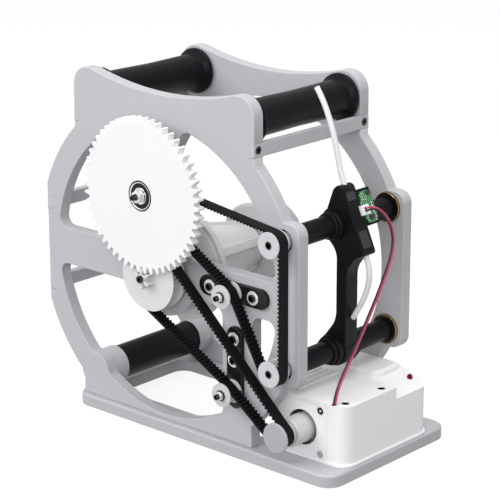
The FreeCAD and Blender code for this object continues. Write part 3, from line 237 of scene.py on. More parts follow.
def make_edge_wear():
    """Rubbed edges: mixes the second colour in where the surface is convex."""
    tree, given, out, where = new_group("edge_wear", {
        "Color": (0.5, 0.5, 0.5, 1.0), "Worn Color": (0.6, 0.6, 0.6, 1.0), "Amount": 0.5,
    }, ["Color", "Mask"])
    convex = tree.nodes.new("ShaderNodeNewGeometry").outputs["Pointiness"]
    ramp = tree.nodes.new("ShaderNodeMapRange")
    ramp.inputs["From Min"].default_value = 0.53
    ramp.inputs["From Max"].default_value = 0.64
    tree.links.new(convex, ramp.inputs["Value"])
    broken = noise_node(tree, where, scale=350.0, detail=3.0)
    rubbed = math_node(tree, "MULTIPLY", ramp.outputs["Result"], broken)
    mask = math_node(tree, "MULTIPLY", rubbed, given["Amount"])
    colour = mix_colours(tree, mask, given["Color"], given["Worn Color"])
    tree.links.new(colour, out["Color"])
    tree.links.new(mask, out["Mask"])
    return tree


def vector_from(tree, value):
    """A place along X, to read a noise along one line."""
    node = tree.nodes.new("ShaderNodeCombineXYZ")
    tree.links.new(value, node.inputs[0])
    return node.outputs[0]


def make_turning_rings():
    """Fine rings left by a lathe round a line along the depth."""
    tree, given, out, where = new_group("turning_rings", {
        "Centre": (0.0, 0.0, 0.0), "Rings per Metre": 3200.0,
    }, ["Height"])
    away = vector_node(tree, "SUBTRACT", where, given["Centre"])
    flat = vector_node(tree, "MULTIPLY", away, (1.0, 0.0, 1.0))
    radius = vector_node(tree, "LENGTH", flat)
    rings = math_node(tree, "MULTIPLY", radius, given["Rings per Metre"])
    uneven = noise_node(tree, vector_from(tree, rings), scale=1.0, detail=3.0)
    tree.links.new(uneven, out["Height"])
    return tree


def make_board_tracks():
    """Copper tracks under the lacquer of a circuit board: thin lines on a grid turned with the board."""
    tree, given, out, where = new_group("board_tracks", {
        "Along": (0.0, 0.0, 1.0), "Side": (0.0, 1.0, 0.0), "Tracks per Metre": 520.0,
    }, ["Mask"])
    along = vector_node(tree, "DOT_PRODUCT", where, given["Along"])
    side = vector_node(tree, "DOT_PRODUCT", where, given["Side"])
    step = math_node(tree, "SNAP", along, 4.2 * MM)
    shift = noise_node(tree, vector_from(tree, step), scale=900.0, detail=1.0)
    wander = math_node(tree, "MULTIPLY", shift, 3.0)
    lane = math_node(tree, "MULTIPLY_ADD", side, given["Tracks per Metre"], wander)
    line = math_node(tree, "PINGPONG", lane, 0.5)
    tree.links.new(math_node(tree, "LESS_THAN", line, 0.16), out["Mask"])
    return tree


MOTTLE = make_mottle()
LAYER_LINES = make_layer_lines()
EDGE_WEAR = make_edge_wear()
TURNING_RINGS = make_turning_rings()
BOARD_TRACKS = make_board_tracks()


def use_group(tree, group, **values):
    """Places a group in a material; an underscore in a value's name stands for a space."""
    node = tree.nodes.new("ShaderNodeGroup")
    node.node_tree = group
    for label, value in values.items():
        node.inputs[label.replace("_", " ")].default_value = value
    return node


def add_bump(tree, height, distance, before=None):
    """Raises the surface by up to distance in metres, on top of the bump before it."""
    bump = tree.nodes.new("ShaderNodeBump")
    bump.inputs["Strength"].default_value = 1.0
    bump.inputs["Distance"].default_value = distance
    tree.links.new(height, bump.inputs["Height"])
    if before:
        tree.links.new(before, bump.inputs["Normal"])
    return bump.outputs["Normal"]


def rgba(colour):
    """A colour with its alpha; one number stands for a neutral grey."""
    return (*colour, 1.0) if isinstance(colour, tuple) else (colour, colour, colour, 1.0)


def plastic(name, light, dark, roughness, spread=0.12, patch=60.0, grain=900.0, worn=None, wear=0.6,
            printed=None, layer_height=0.03 * MM, grain_height=0.01 * MM, turned=None, **shader):
    """Mottled colour and gloss with rubbed edges.

    printed is the way its layers are stacked, turned the (x, z) round which a lathe left its rings.
    """
    material, tree, surface = new_material(name)
    mottle = use_group(tree, MOTTLE, Light=rgba(light), Dark=rgba(dark), Roughness=roughness,
                       Roughness_Spread=spread, Patch_Scale=patch, Grain_Scale=grain)
    colour = mottle.outputs["Color"]
    if worn:
        rubbed = use_group(tree, EDGE_WEAR, Worn_Color=rgba(worn), Amount=wear)
        tree.links.new(colour, rubbed.inputs["Color"])
        colour = rubbed.outputs["Color"]
    tree.links.new(colour, surface.inputs["Base Color"])
    tree.links.new(mottle.outputs["Roughness"], surface.inputs["Roughness"])
    normal = add_bump(tree, mottle.outputs["Height"], grain_height)
    if printed:
        layers = use_group(tree, LAYER_LINES, Stack=printed)
        normal = add_bump(tree, layers.outputs["Height"], layer_height, normal)
    if turned:
        centre = TO_METRES @ Vector((turned[0], 0.0, turned[1]))
        rings = use_group(tree, TURNING_RINGS, Centre=tuple(centre))
        normal = add_bump(tree, rings.outputs["Height"], 0.02 * MM, normal)
    tree.links.new(normal, surface.inputs["Normal"])
    for label, value in shader.items():
        surface.inputs[label.replace("_", " ")].default_value = value
    return material


def metal(name, light, dark, roughness, metallic=1.0, patch=200.0, **more):
    """The same as a metal with finer patches."""
    return plastic(name, light, dark, roughness, patch=patch, Metallic=metallic, **more)


FINE_LAYERS, FAINT_LAYERS = 0.02 * MM, 0.01 * MM
PALE_EDGE = (0.64, 0.64, 0.66)
GREY_PRINT = plastic("grey_print_plates", (0.485, 0.48, 0.505), (0.45, 0.447, 0.47), 0.46,
                     worn=PALE_EDGE, printed=DEEP, layer_height=FINE_LAYERS)
GREY_BASE = plastic("grey_print_base", (0.47, 0.466, 0.49), (0.435, 0.432, 0.455), 0.46,
                    worn=PALE_EDGE, printed=UP, layer_height=FINE_LAYERS)
GREY_WHEEL = plastic("grey_moulded_pulleys", (0.56, 0.56, 0.58), (0.52, 0.52, 0.54), 0.4,
                     worn=0.7)
GREY_CAP = plastic("grey_motor_cap", (0.40, 0.396, 0.425), (0.36, 0.357, 0.385), 0.5, worn=(0.5, 0.5, 0.52))
WHITE_PRINT = plastic("white_print_wheels", (0.83, 0.83, 0.84), (0.80, 0.80, 0.815), 0.42,
                      worn=0.92, printed=DEEP)
WHITE_WHEEL = plastic("white_moulded_pulley", (0.68, 0.68, 0.69), (0.63, 0.63, 0.64), 0.42,
                      worn=0.8, printed=DEEP, layer_height=FAINT_LAYERS)
WHITE_COVER = plastic("white_print_cover", (0.86, 0.86, 0.875), (0.83, 0.83, 0.845), 0.42,
                      worn=0.9, printed=UP, layer_height=FAINT_LAYERS)
WHITE_HUB = plastic("white_print_hub", (0.70, 0.70, 0.715), (0.66, 0.66, 0.675), 0.45,
                    worn=0.8, printed=DEEP)
# Black of the printed guide; the same black is the painted shade of the wire opening in the cover
BLACK_PRINT_AND_PAINTED_SHADE = plastic("black_print_guide_and_painted_shade", (0.0062, 0.0061, 0.0075), (0.0045, 0.0045, 0.0055), 0.42,
                      worn=(0.03, 0.03, 0.033), wear=0.5, printed=UP, layer_height=FAINT_LAYERS,
                      Specular_IOR_Level=0.12)
# Painted sheen: a lighter, glossier copy of the guide's black for its two sunk panels, so that they look lit
BLACK_GUIDE_PAINTED_SHEEN = plastic("black_guide_panels_painted_sheen", (0.030, 0.030, 0.034), (0.022, 0.022, 0.026), 0.35,
                      worn=(0.08, 0.08, 0.085), wear=0.5, Specular_IOR_Level=0.4)
BLACK_ROLLER = plastic("black_roller_sleeve", (0.0055, 0.0053, 0.0078), (0.004, 0.0039, 0.0055), 0.4,
                       worn=(0.03, 0.03, 0.034), wear=0.5, Specular_IOR_Level=0.1)
BLACK_BAR = plastic("black_tensioner_bar", (0.006, 0.006, 0.007), (0.0045, 0.0045, 0.005), 0.34,
                    worn=0.04, wear=0.5, Specular_IOR_Level=0.25)
BLACK_RUBBER = plastic("black_belt_rubber", (0.0062, 0.006, 0.0078), (0.0042, 0.004, 0.0052), 0.6,
                       worn=(0.025, 0.025, 0.028), wear=0.5, grain_height=0.03 * MM, Specular_IOR_Level=0.1)
BRIGHT_STEEL = metal("bright_steel", (0.78, 0.78, 0.77), 0.66, 0.2, worn=(0.88, 0.88, 0.87))
TURNED_STEEL = metal("turned_steel_washer", 0.78, 0.68, 0.3, turned=GEAR)
DARK_SCREW = metal("blackened_screw", (0.020, 0.020, 0.022), (0.010, 0.010, 0.011), 0.2, metallic=0.6,
                   worn=0.22, wear=0.5)
# Black of the bearings' seals; the same black is painted shade on the wall of the motor opening and on the
# motor behind the panel
SEAL_BLACK_AND_PAINTED_SHADE = plastic("bearing_seal_and_painted_shade", 0.006, 0.004, 0.4,
                       Specular_IOR_Level=0.2)
PLATED_STEEL = metal("plated_washers_and_nuts", 0.84, 0.74, 0.28, metallic=0.45,
                     worn=0.95)
BRONZED_STEEL = metal("bronzed_bearing_steel", (0.09, 0.07, 0.045), (0.02, 0.018, 0.016), 0.12, patch=260.0,
                      spread=0.05, worn=(0.5, 0.4, 0.25), wear=0.9)
# Painted highlight: a bright golden metal on the rod bearings' rim chamfers stands for the thin golden
# highlight line along them
PAINTED_GOLDEN_HIGHLIGHT = metal("bearing_rim_painted_golden_highlight", (0.50, 0.36, 0.16), (0.20, 0.14, 0.06), 0.14, worn=(0.8, 0.66, 0.4))
DARK_RING = metal("bearing_ring_dark", (0.020, 0.020, 0.021), (0.010, 0.010, 0.011), 0.25, metallic=0.7,
                  worn=0.3)
# Grey of the motor's case; the same grey is the painted highlight in the upper panel screw's socket
MOTOR_CASE_AND_PAINTED_GLINT = plastic("motor_case_grey_and_painted_glint", (0.62, 0.62, 0.635), (0.58, 0.58, 0.595), 0.36, patch=120.0,
                     worn=0.75, turned=MOTOR, Metallic=0.2)
LAMP_RED = plastic("lamp_red", (0.2, 0.001, 0.004), (0.1, 0.0005, 0.002), 0.3, Specular_IOR_Level=0.08,
                   Coat_Weight=0.03)
WIRE_RED = plastic("wire_red", (0.50, 0.03, 0.105), (0.38, 0.018, 0.07), 0.32, Coat_Weight=0.15)
WIRE_BLACK = plastic("wire_black", (0.022, 0.008, 0.020), (0.014, 0.006, 0.014), 0.35)
TUBE_WHITE = plastic("tube_white", (0.80, 0.80, 0.82), (0.75, 0.75, 0.77), 0.3, Coat_Weight=0.1)
SOLDER = metal("solder_tin", (0.75, 0.75, 0.74), 0.55, 0.25)
CHIP_BLACK = plastic("board_chip_black", (0.02, 0.02, 0.022), (0.012, 0.012, 0.013), 0.35)
LIMIT_SWITCH = plastic("board_part_dark", (0.05, 0.05, 0.055), (0.03, 0.03, 0.033), 0.4)


# Building helpers, all in the drawing frame

def finish_piece(node, bm, materials, name=None):
    """Turns a drawn mesh into a piece of the scene that stands for a CAD node and rides on its body."""
    name = name or node + "_finished"
    moved(bm, TO_METRES)
    mesh = mesh_from(name, bm)
    for material in materials if isinstance(materials, list) else [materials]:
        mesh.materials.append(material)
    mesh.shade_smooth()
    mesh.set_sharp_from_angle(angle=math.radians(34.0))
    piece = placed(name, mesh)
    weighted = piece.modifiers.new("even_shading", "WEIGHTED_NORMAL")
    weighted.keep_sharp = True
    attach(piece, nodes[node]["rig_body"])
    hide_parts(node)


def moved(bm, matrix):
    """The whole drawing moved or scaled."""
    bmesh.ops.transform(bm, matrix=matrix, verts=bm.verts)
    return bm


def merged_copy(node, flat=True):
    """The node's solid as one closed mesh in the drawing frame; flat faces joined into one each."""
    bm = bmesh.new()
    bm.from_mesh(nodes[node].data)
    moved(bm, TO_DRAWING)
    bmesh.ops.remove_doubles(bm, verts=bm.verts, dist=0.003)
    if flat:
        bmesh.ops.dissolve_limit(bm, angle_limit=math.radians(0.5), verts=bm.verts, edges=bm.edges)
    return bm


def sharp_edges(bm, degrees=CORNER):
    """Edges between two faces that turn by more than degrees."""
    limit = math.radians(degrees)
    return [e for e in bm.edges if len(e.link_faces) == 2 and e.calc_face_angle() > limit]


def round_edges(bm, width, edges, segments=2, clamp=False):
    """Rounds the edges; width is how far the rounding reaches to both sides."""
    bmesh.ops.bevel(bm, geom=edges, offset=width, offset_type="OFFSET", segments=segments, profile=0.5,
                    affect="EDGES", clamp_overlap=clamp, material=-1)


def middle(edge):
    """The point halfway along an edge."""
    return (edge.verts[0].co + edge.verts[1].co) / 2


def edge_runs(edges):
    """Edges sorted into connected runs."""
    left = set(edges)
    runs = []
    while left:
        run = [left.pop()]
        for edge in run:
            near = [e for vert in edge.verts for e in vert.link_edges if e in left]
            left.difference_update(near)
            run.extend(near)
        runs.append(run)
    return runs


def run_size(run):
    """The longest side of the box round a run of edges."""
    points = [vert.co for edge in run for vert in edge.verts]
    return max(max(p[k] for p in points) - min(p[k] for p in points) for k in range(3))


def soften(bm, size, narrow, wide, segments=2, degrees=CORNER, spare=None, clamp=False):
    """Rounds the runs of edges that span less than size narrowly, then the larger ones widely."""
    small = [e for run in edge_runs(sharp_edges(bm)) if run_size(run) < size for e in run]
    round_edges(bm, narrow, small, clamp=clamp)
    large = [e for run in edge_runs(sharp_edges(bm, degrees)) if run_size(run) >= size for e in run]
    round_edges(bm, wide, [e for e in large if not (spare and spare(e))], segments, clamp)


def rounded_piece(node, material, width, degrees=CORNER, segments=2, clamp=False):
    """The node's own shape with its corners rounded."""
    bm = merged_copy(node)
    round_edges(bm, width, sharp_edges(bm, degrees), segments, clamp)
    finish_piece(node, bm, material)


def keep_node(node, material):
    """A CAD node whose shape is right gets its finish."""
    mesh = nodes[node].data
    mesh.materials.clear()
    mesh.materials.append(material)


def ring_of_edges(bm, sides, radius, height):
    """A loop round the local Z axis, divided so that every loop has as many edges as a round one."""
    before = set(bm.edges)
    bmesh.ops.create_circle(bm, segments=sides, radius=radius, matrix=Matrix.Translation((0, 0, height)))
    if ROUND > sides:
        made = [e for e in bm.edges if e not in before]
        bmesh.ops.subdivide_edges(bm, edges=made, cuts=ROUND // sides - 1)
    return [e for e in bm.edges if e not in before]


def stack(rings, place, way, hollow=False):
    """A closed body of loops (sides, radius, height), joined one to the next.

    It stands at place and faces way; a hollow one is a ring with a hole right through.
    """
    bm = bmesh.new()
    loops = [ring_of_edges(bm, sides, radius, height) for sides, radius, height in rings]
    pairs = list(zip(loops, loops[1:]))
    if hollow:
        pairs.append((loops[-1], loops[0]))
    for low, high in pairs:
        bmesh.ops.bridge_loops(bm, edges=low + high)
    if not hollow:
        bmesh.ops.edgeloop_fill(bm, edges=loops[0])
        bmesh.ops.edgeloop_fill(bm, edges=loops[-1])
    bmesh.ops.recalc_face_normals(bm, faces=bm.faces)
    turn = Vector((0, 0, 1)).rotation_difference(Vector(way)).to_matrix().to_4x4()
    return moved(bm, Matrix.Translation(place) @ turn)


def turned_ring(x, z, profile, steps=72):
    """A closed ring turned round the depth line through (x, z) from a chain of (y, radius) points."""
    bm = bmesh.new()
    points = [bm.verts.new((x + radius, y, z)) for y, radius in profile]
    for a, b in zip(points, points[1:] + points[:1]):
        bm.edges.new((a, b))
    bmesh.ops.spin(bm, geom=bm.verts[:] + bm.edges[:], cent=(x, 0, z), axis=DEEP, angle=math.tau, steps=steps,
                   use_merge=True)
    bmesh.ops.recalc_face_normals(bm, faces=bm.faces)
    return bm


def sized_cube(x, y, z):
    """A plain block between the (low, high) pairs x, y and z."""
    bm = bmesh.new()
    bmesh.ops.create_cube(bm, size=1.0)
    grown = Matrix.Diagonal((*[high - low for low, high in (x, y, z)], 1.0))
    centre = Matrix.Translation([(high + low) / 2 for low, high in (x, y, z)])
    return moved(bm, centre @ grown)


def block(x, y, z, width):
    """The same with rounded edges."""
    bm = sized_cube(x, y, z)
    round_edges(bm, width, bm.edges[:])
    return bm


def scaled(bm, centre, factors):
    """Scales a drawing about a point."""
    place = Matrix.Translation(centre)
    return moved(bm, place @ Matrix.Diagonal((*factors, 1.0)) @ place.inverted())


def paint(bm, index):
    """Gives a whole drawing the material at index in its piece's list."""
    for face in bm.faces:
        face.material_index = index
    return bm


def paint_where(bm, test):
    """Gives the faces that pass the test the second material of their piece."""
    for face in bm.faces:
        face.material_index = 1 if test(face, face.calc_center_median()) else 0


def joined(*drawings):
    """Several drawings as one."""
    whole = bmesh.new()
    for drawing in drawings:
        mesh = mesh_from("drawing", drawing)
        whole.from_mesh(mesh)
        bpy.data.meshes.remove(mesh)
    return whole


# Fasteners

def socket_head(place, way, radius, height, key, depth, edge=0.35):
    """A round screw head with a hexagonal key socket; key is the socket's corner radius."""
    return stack([
        (ROUND, radius, 0.0), (ROUND, radius, height - edge),
        (ROUND, radius - 0.3 * edge, height - 0.3 * edge), (ROUND, radius - edge, height),
        (ROUND, 1.18 * key, height), (HEX, key, height - 0.12), (HEX, key, height - depth),
    ], place, way)


def washer(place, way, radius, bore, thickness, edge=0.15):
    """A flat ring with rounded rims."""
    return stack([
        (ROUND, bore, 0.0), (ROUND, radius - edge, 0.0), (ROUND, radius, edge),
        (ROUND, radius, thickness - edge), (ROUND, radius - edge, thickness), (ROUND, bore, thickness),
    ], place, way, hollow=True)


def nut(place, way, radius, bore, height):
    """A hexagonal nut with chamfered ends."""
    return stack([
        (ROUND, bore, 0.0), (ROUND, 0.86 * radius, 0.0), (HEX, radius, 0.1 * height),
        (HEX, radius, 0.86 * height), (ROUND, 0.84 * radius, height), (ROUND, bore + 0.2, height),
        (ROUND, bore, height - 0.3),
    ], place, way, hollow=True)


def threaded(place, way, radius, length, hollow_end=0.0):
    """A threaded end, with a shallow key hole of the radius hollow_end where that is given."""
    pitch, groove = 0.7, radius - 0.28
    rings = [(ROUND, radius - 0.05, 0.0)]
    for k in range(int(length / pitch)):
        for size, share in ((radius, 0.25), (radius, 0.5), (groove, 0.9)):
            rings.append((ROUND, size, (k + share) * pitch))
    rings.append((ROUND, radius - 0.35, length))
    if hollow_end:
        key = 0.92 * hollow_end
        rings += [(ROUND, hollow_end, length), (HEX, key, length - 0.1), (HEX, key, length - 1.2)]
    return stack(rings, place, way)


def ball_bearing(x, z, front, rim=9.7):
    """An 8 x 22 x 7 bearing: inner ring, sunk seal with its rubbing lip, outer ring.

    Its faces are painted 0 for the rings, 1 for the seals and 2 for all that lies beyond the radius rim.
    """
    back = front + 7.0
    half = [(0.0, 4.05), (0.0, 5.7), (0.15, 5.9), (0.5, 5.9), (0.5, 6.5), (0.32, 6.8), (0.32, 8.3),
            (0.5, 8.6), (0.5, 9.0), (0.12, 9.2), (0.0, 9.4), (0.0, 9.9), (0.0, 10.4), (0.18, 10.82),
            (0.6, 11.0)]
    bm = turned_ring(x, z, [(front + y, r) for y, r in half] + [(back - y, r) for y, r in reversed(half)])
    for face in bm.faces:
        spot = face.calc_center_median()
        radius = math.hypot(spot.x - x, spot.z - z)
        sunk = 6.0 < radius < 8.95 and front + 0.2 < spot.y < back - 0.2
        face.material_index = 2 if radius > rim else 1 if sunk else 0
    return bm


# Cords

# The tube holder is the guide's tilted top: where its axis starts, and which ways it points.
HOLDER_TOP = Vector((115.4, 0.0, 191.5))
HOLDER_TILT = math.radians(24.3)
HOLDER_WAY = Vector((math.sin(HOLDER_TILT), 0.0, -math.cos(HOLDER_TILT)))
HOLDER_OUT = Vector((math.cos(HOLDER_TILT), 0.0, math.sin(HOLDER_TILT)))
HOLDER_Y = 59.7
GUIDE_TUBE_OUT = 0.5
TUBE_RADIUS = 2.0
TUBE_WALL = 0.8

# The plug sits on the board beside the holder; the wires leave it outwards before they hang.
PLUG_ALONG, PLUG_OUT = 20.0, 8.0
WIRE_Y = 65.0
WIRE_CLEAR = 4.4
WIRE_SPACING = 1.6
WIRE_RADIUS = 0.65
WIRE_ROUTE = [
    (138.9, 67.3, 178.2), (141.2, 71.7, 174.4), (142.0, 76.4, 168.0), (142.8, 79.6, 160.0),
    (143.4, 79.9, 151.5), (144.0, 76.8, 142.4), (144.7, 70.4, 133.0), (145.6, 61.3, 120.6),
    (146.5, 50.0, 106.8), (147.0, 38.0, 91.3), (146.9, 27.0, 77.5), (146.4, 19.2, 66.0),
    (146.1, 15.6, 57.6), (146.0, 14.7, 51.6),
]


def holder_point(along, out, y):
    """A point placed from the tube holder's top: along its axis, outwards, and at a depth."""
    return HOLDER_TOP + HOLDER_WAY * along + HOLDER_OUT * out + Vector((0.0, y, 0.0))


def route_curve(name, points, radius):
    """A round cord whose centreline is one smooth spline with the route's points as control points."""
    curve = bpy.data.curves.new(name, "CURVE")
    curve.dimensions = "3D"
    spline = curve.splines.new("NURBS")
    spline.points.add(len(points) - 1)
    for point, target in zip(points, spline.points):
        target.co = (*(TO_METRES @ point), 1.0)
    spline.order_u = 3
    spline.use_endpoint_u = True
    spline.resolution_u = 12
    curve.bevel_depth = radius * MM
    curve.bevel_resolution = 5
    return placed(name, curve)


def cord_mesh(name, points, radius, material, capped):
    """The cord as a mesh tube, and the points of the spline that it follows."""
    curve = route_curve(name + "_route", points, radius)
    curve.data.use_fill_caps = capped
    bpy.context.view_layer.update()
    mesh = bpy.data.meshes.new_from_object(curve)
    curve.data.bevel_depth = 0.0
    bpy.context.view_layer.update()
    line = bpy.data.meshes.new_from_object(curve)
    path = [tuple(vert.co) for vert in line.vertices]
    bpy.data.meshes.remove(line)
    bpy.data.objects.remove(curve)
    mesh.name = name
    mesh.materials.clear()
    mesh.materials.append(material)
    mesh.shade_smooth()
    return placed(name, mesh), path


def make_guide_tube():
    """Feed tube with its bore open at both ends."""
    top = [Vector((x, HOLDER_Y, z)) for x, z in
           ((90.9, 256.6), (96.0, 249.3), (101.2, 239.2), (106.8, 224.5), (110.4, 210.0))]
    inside = [holder_point(along, GUIDE_TUBE_OUT, HOLDER_Y) for along in (-6.0, 54.0)]
    end = [Vector((x, HOLDER_Y, z)) for x, z in
           ((139.4, 129.5), (135.3, 116.2), (129.7, 106.0), (125.0, 98.8))]
    route = top + inside + end
    tube, path = cord_mesh("feed_tube", route, TUBE_RADIUS, TUBE_WHITE, False)
    wall = tube.modifiers.new("tube_wall", "SOLIDIFY")
    wall.thickness = TUBE_WALL * MM
    wall.offset = -1.0
    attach(tube, "guide")
    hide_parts("guide_tube")


def make_sensor_wires():
    """Two thin wires from the sensor's plug down to the box."""
    points = [holder_point(PLUG_ALONG, out, WIRE_Y) for out in (PLUG_OUT, PLUG_OUT + WIRE_CLEAR)]
    points += [Vector(point) for point in WIRE_ROUTE]
    turning = (HOLDER_WAY + Vector(LEFT)).normalized()
    apart = [HOLDER_WAY, HOLDER_WAY, turning] + [Vector(LEFT)] * (len(points) - 3)
    for name, side, material in (("red", -1, WIRE_RED), ("black", 1, WIRE_BLACK)):
        route = [p + way * (side * WIRE_SPACING / 2) for p, way in zip(points, apart)]
        wire, path = cord_mesh("sensor_lead_" + name, route, WIRE_RADIUS, material, True)
        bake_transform(wire)
        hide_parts("sensor_wire_" + name)


make_guide_tube()
make_sensor_wires()


# Side plates, cross bars and base

# Cross bars as (lowest x, highest x, lowest z), and the depth of both plates' middles.
BAR_ENDS = [(83.0, 87.0, 216.8), (-87.0, -83.0, 216.8), (-118.8, -112.3, 145.5), (-118.8, -112.3, 83.0)]
BAR_HEIGHT = 10.0
PLATE_MIDDLES = (4.75, 117.05)


def at_bar_notch(edge):
    """Whether an edge of a plate belongs to a notch that holds a cross bar."""
    spot, near = middle(edge), 0.4
    return any(low - near < spot.x < high + near and z - near < spot.z < z + BAR_HEIGHT + near
               for low, high, z in BAR_ENDS)


def make_plates():
    """Outline and window edges are softened widely, the small holes only a little; the bar notches stay
    sharp.
    """
    for node in ("front_plate", "rear_plate"):
        bm = merged_copy(node)
        soften(bm, 40.0, 0.2, 0.75, segments=3, degrees=50.0, spare=at_bar_notch)
        finish_piece(node, bm, GREY_PRINT)


def make_cross_bars():
    """Each bar is a hair lower than its notch, which leaves the thin seam round its end."""
    names = ("crossbar_top_right", "crossbar_top_left", "crossbar_mid_left", "crossbar_low_left")
    for node, (_, _, z) in zip(names, BAR_ENDS):
        bm = merged_copy(node)
        scaled(bm, (0.0, 0.0, z + BAR_HEIGHT / 2), (1.0, 1.0, 0.965))
        round_edges(bm, 0.3, sharp_edges(bm, 60.0))
        finish_piece(node, bm, GREY_PRINT)


def make_cross_bar_screws():
    """Sunk heads, set into the bars' outer faces."""
    heads = []
    for low, high, z in BAR_ENDS:
        face, way = (high, ACROSS) if high > 0 else (low, LEFT)
        for y in PLATE_MIDDLES:
            place = Vector((face, y, z + BAR_HEIGHT / 2)) - Vector(way) * 1.5
            heads.append(stack([
                (ROUND, 1.6, 0.0), (ROUND, 2.85, 1.2), (ROUND, 2.92, 1.32), (ROUND, 2.8, 1.4),
                (ROUND, 1.5, 1.36), (HEX, 1.3, 1.2), (HEX, 1.3, 0.2),
            ], place, way))
    finish_piece("crossbar_screws", joined(*heads), DARK_SCREW, name="crossbar_screw_heads")


def make_base_screws():
    """Heads in the base's counterbores, seen from below."""
    heads = []
    for x in (-76.0, -55.0, 55.0, 76.0):
        for y in PLATE_MIDDLES:
            heads.append(socket_head((x, y, 3.4), DOWN, radius=3.45, height=2.75, key=1.5, depth=1.6))
    finish_piece("base_screws", joined(*heads), DARK_SCREW, name="base_screw_heads")


def make_base():
    """Plate with its large window; the screw holes stay crisp."""
    bm = merged_copy("base_plate")
    soften(bm, 30.0, 0.2, 0.35)
    finish_piece("base_plate", bm, GREY_BASE)


make_plates()
make_cross_bars()
make_cross_bar_screws()
make_base_screws()
make_base()
rounded_piece("tube_sockets", GREY_PRINT, width=0.5)
rounded_piece("lower_spacer_tube", BLACK_ROLLER, width=0.2)


# Rollers, rods and their bearings

def make_bearings():
    """Bright rings with a dark rim for spool and gear, bronzed ones for the rods whose rim carries a thin
    painted golden highlight.
    """
    bright = [BRIGHT_STEEL, SEAL_BLACK_AND_PAINTED_SHADE, DARK_RING]
    bronzed = [BRONZED_STEEL, SEAL_BLACK_AND_PAINTED_SHADE, PAINTED_GOLDEN_HIGHLIGHT]
    pair = joined(ball_bearing(*SPOOL, 2.5), ball_bearing(*SPOOL, 112.3))
    finish_piece("spool_bearings", pair, bright, name="spool_bearing_pair")
    for name, rod in (("upper", UPPER_ROD), ("lower", LOWER_ROD)):
        pair = joined(ball_bearing(*rod, 4.8, 10.35), ball_bearing(*rod, 110.0, 10.35))
        finish_piece(name + "_rod_bearings", pair, bronzed, name=name + "_rod_bearing_pair")
    finish_piece("gear_bearing", ball_bearing(*GEAR, -21.3), bright, name="gear_ball_bearing")


for node in ("top_roller_left", "top_roller_right"):
    rounded_piece(node, BLACK_ROLLER, width=0.7, degrees=20.0, segments=3)
for node in ("upper_guide_rod", "lower_guide_rod"):
    rounded_piece(node, BLACK_ROLLER, width=0.2)
rounded_piece("roller_axles", BRIGHT_STEEL, width=0.3)
make_bearings()


# Spool shaft, hub and large gear

def make_axle_screw():
    """The dark screw in the spool axle's front end."""
    head = socket_head((SPOOL[0], -22.0, SPOOL[1]), FRONT, radius=2.7, height=1.9, key=1.45, depth=1.5)
    finish_piece("axle_screw", head, DARK_SCREW, name="axle_screw_head")


def make_gear_fasteners():
    """Washer and nut on the stud in front of the gear, and the stud's threaded end."""
    x, z = GEAR
    plate = paint(washer((x, -21.62, z), FRONT, radius=5.3, bore=2.25, thickness=0.75), 1)
    hexagon = nut((x, -22.4, z), FRONT, radius=4.55, bore=2.25, height=3.2)
    finish_piece("gear_nut", joined(plate, hexagon), [PLATED_STEEL, TURNED_STEEL],
                 name="gear_washer_and_nut")
    shaft = stack([
        (ROUND, 3.6, 0.0), (ROUND, 3.98, 0.4), (ROUND, 3.98, 25.7), (ROUND, 3.7, 26.0), (ROUND, 2.0, 26.0),
    ], (x, 4.4, z), FRONT)
    tip = threaded((x, -21.6, z), FRONT, radius=2.15, length=7.3, hollow_end=1.25)
    head = stack([
        (ROUND, 6.6, 0.0), (HEX, 7.4, 0.5), (HEX, 7.4, 4.5), (ROUND, 6.6, 5.0),
    ], (x, 4.5, z), BACK)
    finish_piece("gear_stud", joined(shaft, tip, head), DARK_SCREW, name="gear_stud_threaded")


rounded_piece("drive_gear", WHITE_PRINT, width=0.2)
rounded_piece("gear_pulley", WHITE_WHEEL, width=0.08, clamp=True)
rounded_piece("pinion_pulley", WHITE_WHEEL, width=0.1, clamp=True)
rounded_piece("spool_hub", WHITE_HUB, width=0.6, segments=3)
rounded_piece("spool_axle", BRIGHT_STEEL, width=0.2)
make_axle_screw()
make_gear_fasteners()


# Belts, rod pulleys and tensioners

def make_rod_screws():
    """The screws that hold the pulleys on the guide rods."""
    for name, rod in (("upper", UPPER_ROD), ("lower", LOWER_ROD)):
        head = socket_head((rod[0], -13.8, rod[1]), FRONT, radius=2.8, height=1.3, key=1.5, depth=1.1)
        finish_piece(name + "_rod_screw", head, DARK_SCREW, name=name + "_rod_screw_head")


def make_lock_screws():
    """Two screws with washers through each tensioner bar's slots, with nuts behind the plate."""
    places = {"upper": [(48.7, 120.6), (88.5, 120.6)], "lower": [(70.6, 71.6), (70.6, 87.0)]}
    for name, pair in places.items():
        drawings = []
        for x, z in pair:
            drawings.append(washer((x, -3.02, z), FRONT, radius=5.0, bore=2.05, thickness=0.86))
            head = socket_head((x, -3.9, z), FRONT, radius=2.9, height=1.2, key=1.5, depth=1.0, edge=0.4)
            drawings.append(paint(head, 1))
            drawings.append(paint(nut((x, 6.0, z), BACK, radius=4.0, bore=1.9, height=3.0), 1))
            drawings.append(paint(threaded((x, -3.8, z), BACK, radius=1.98, length=12.8), 1))
        finish_piece(name + "_tensioner_screws", joined(*drawings), [PLATED_STEEL, DARK_SCREW],
                     name=name + "_lock_screws")


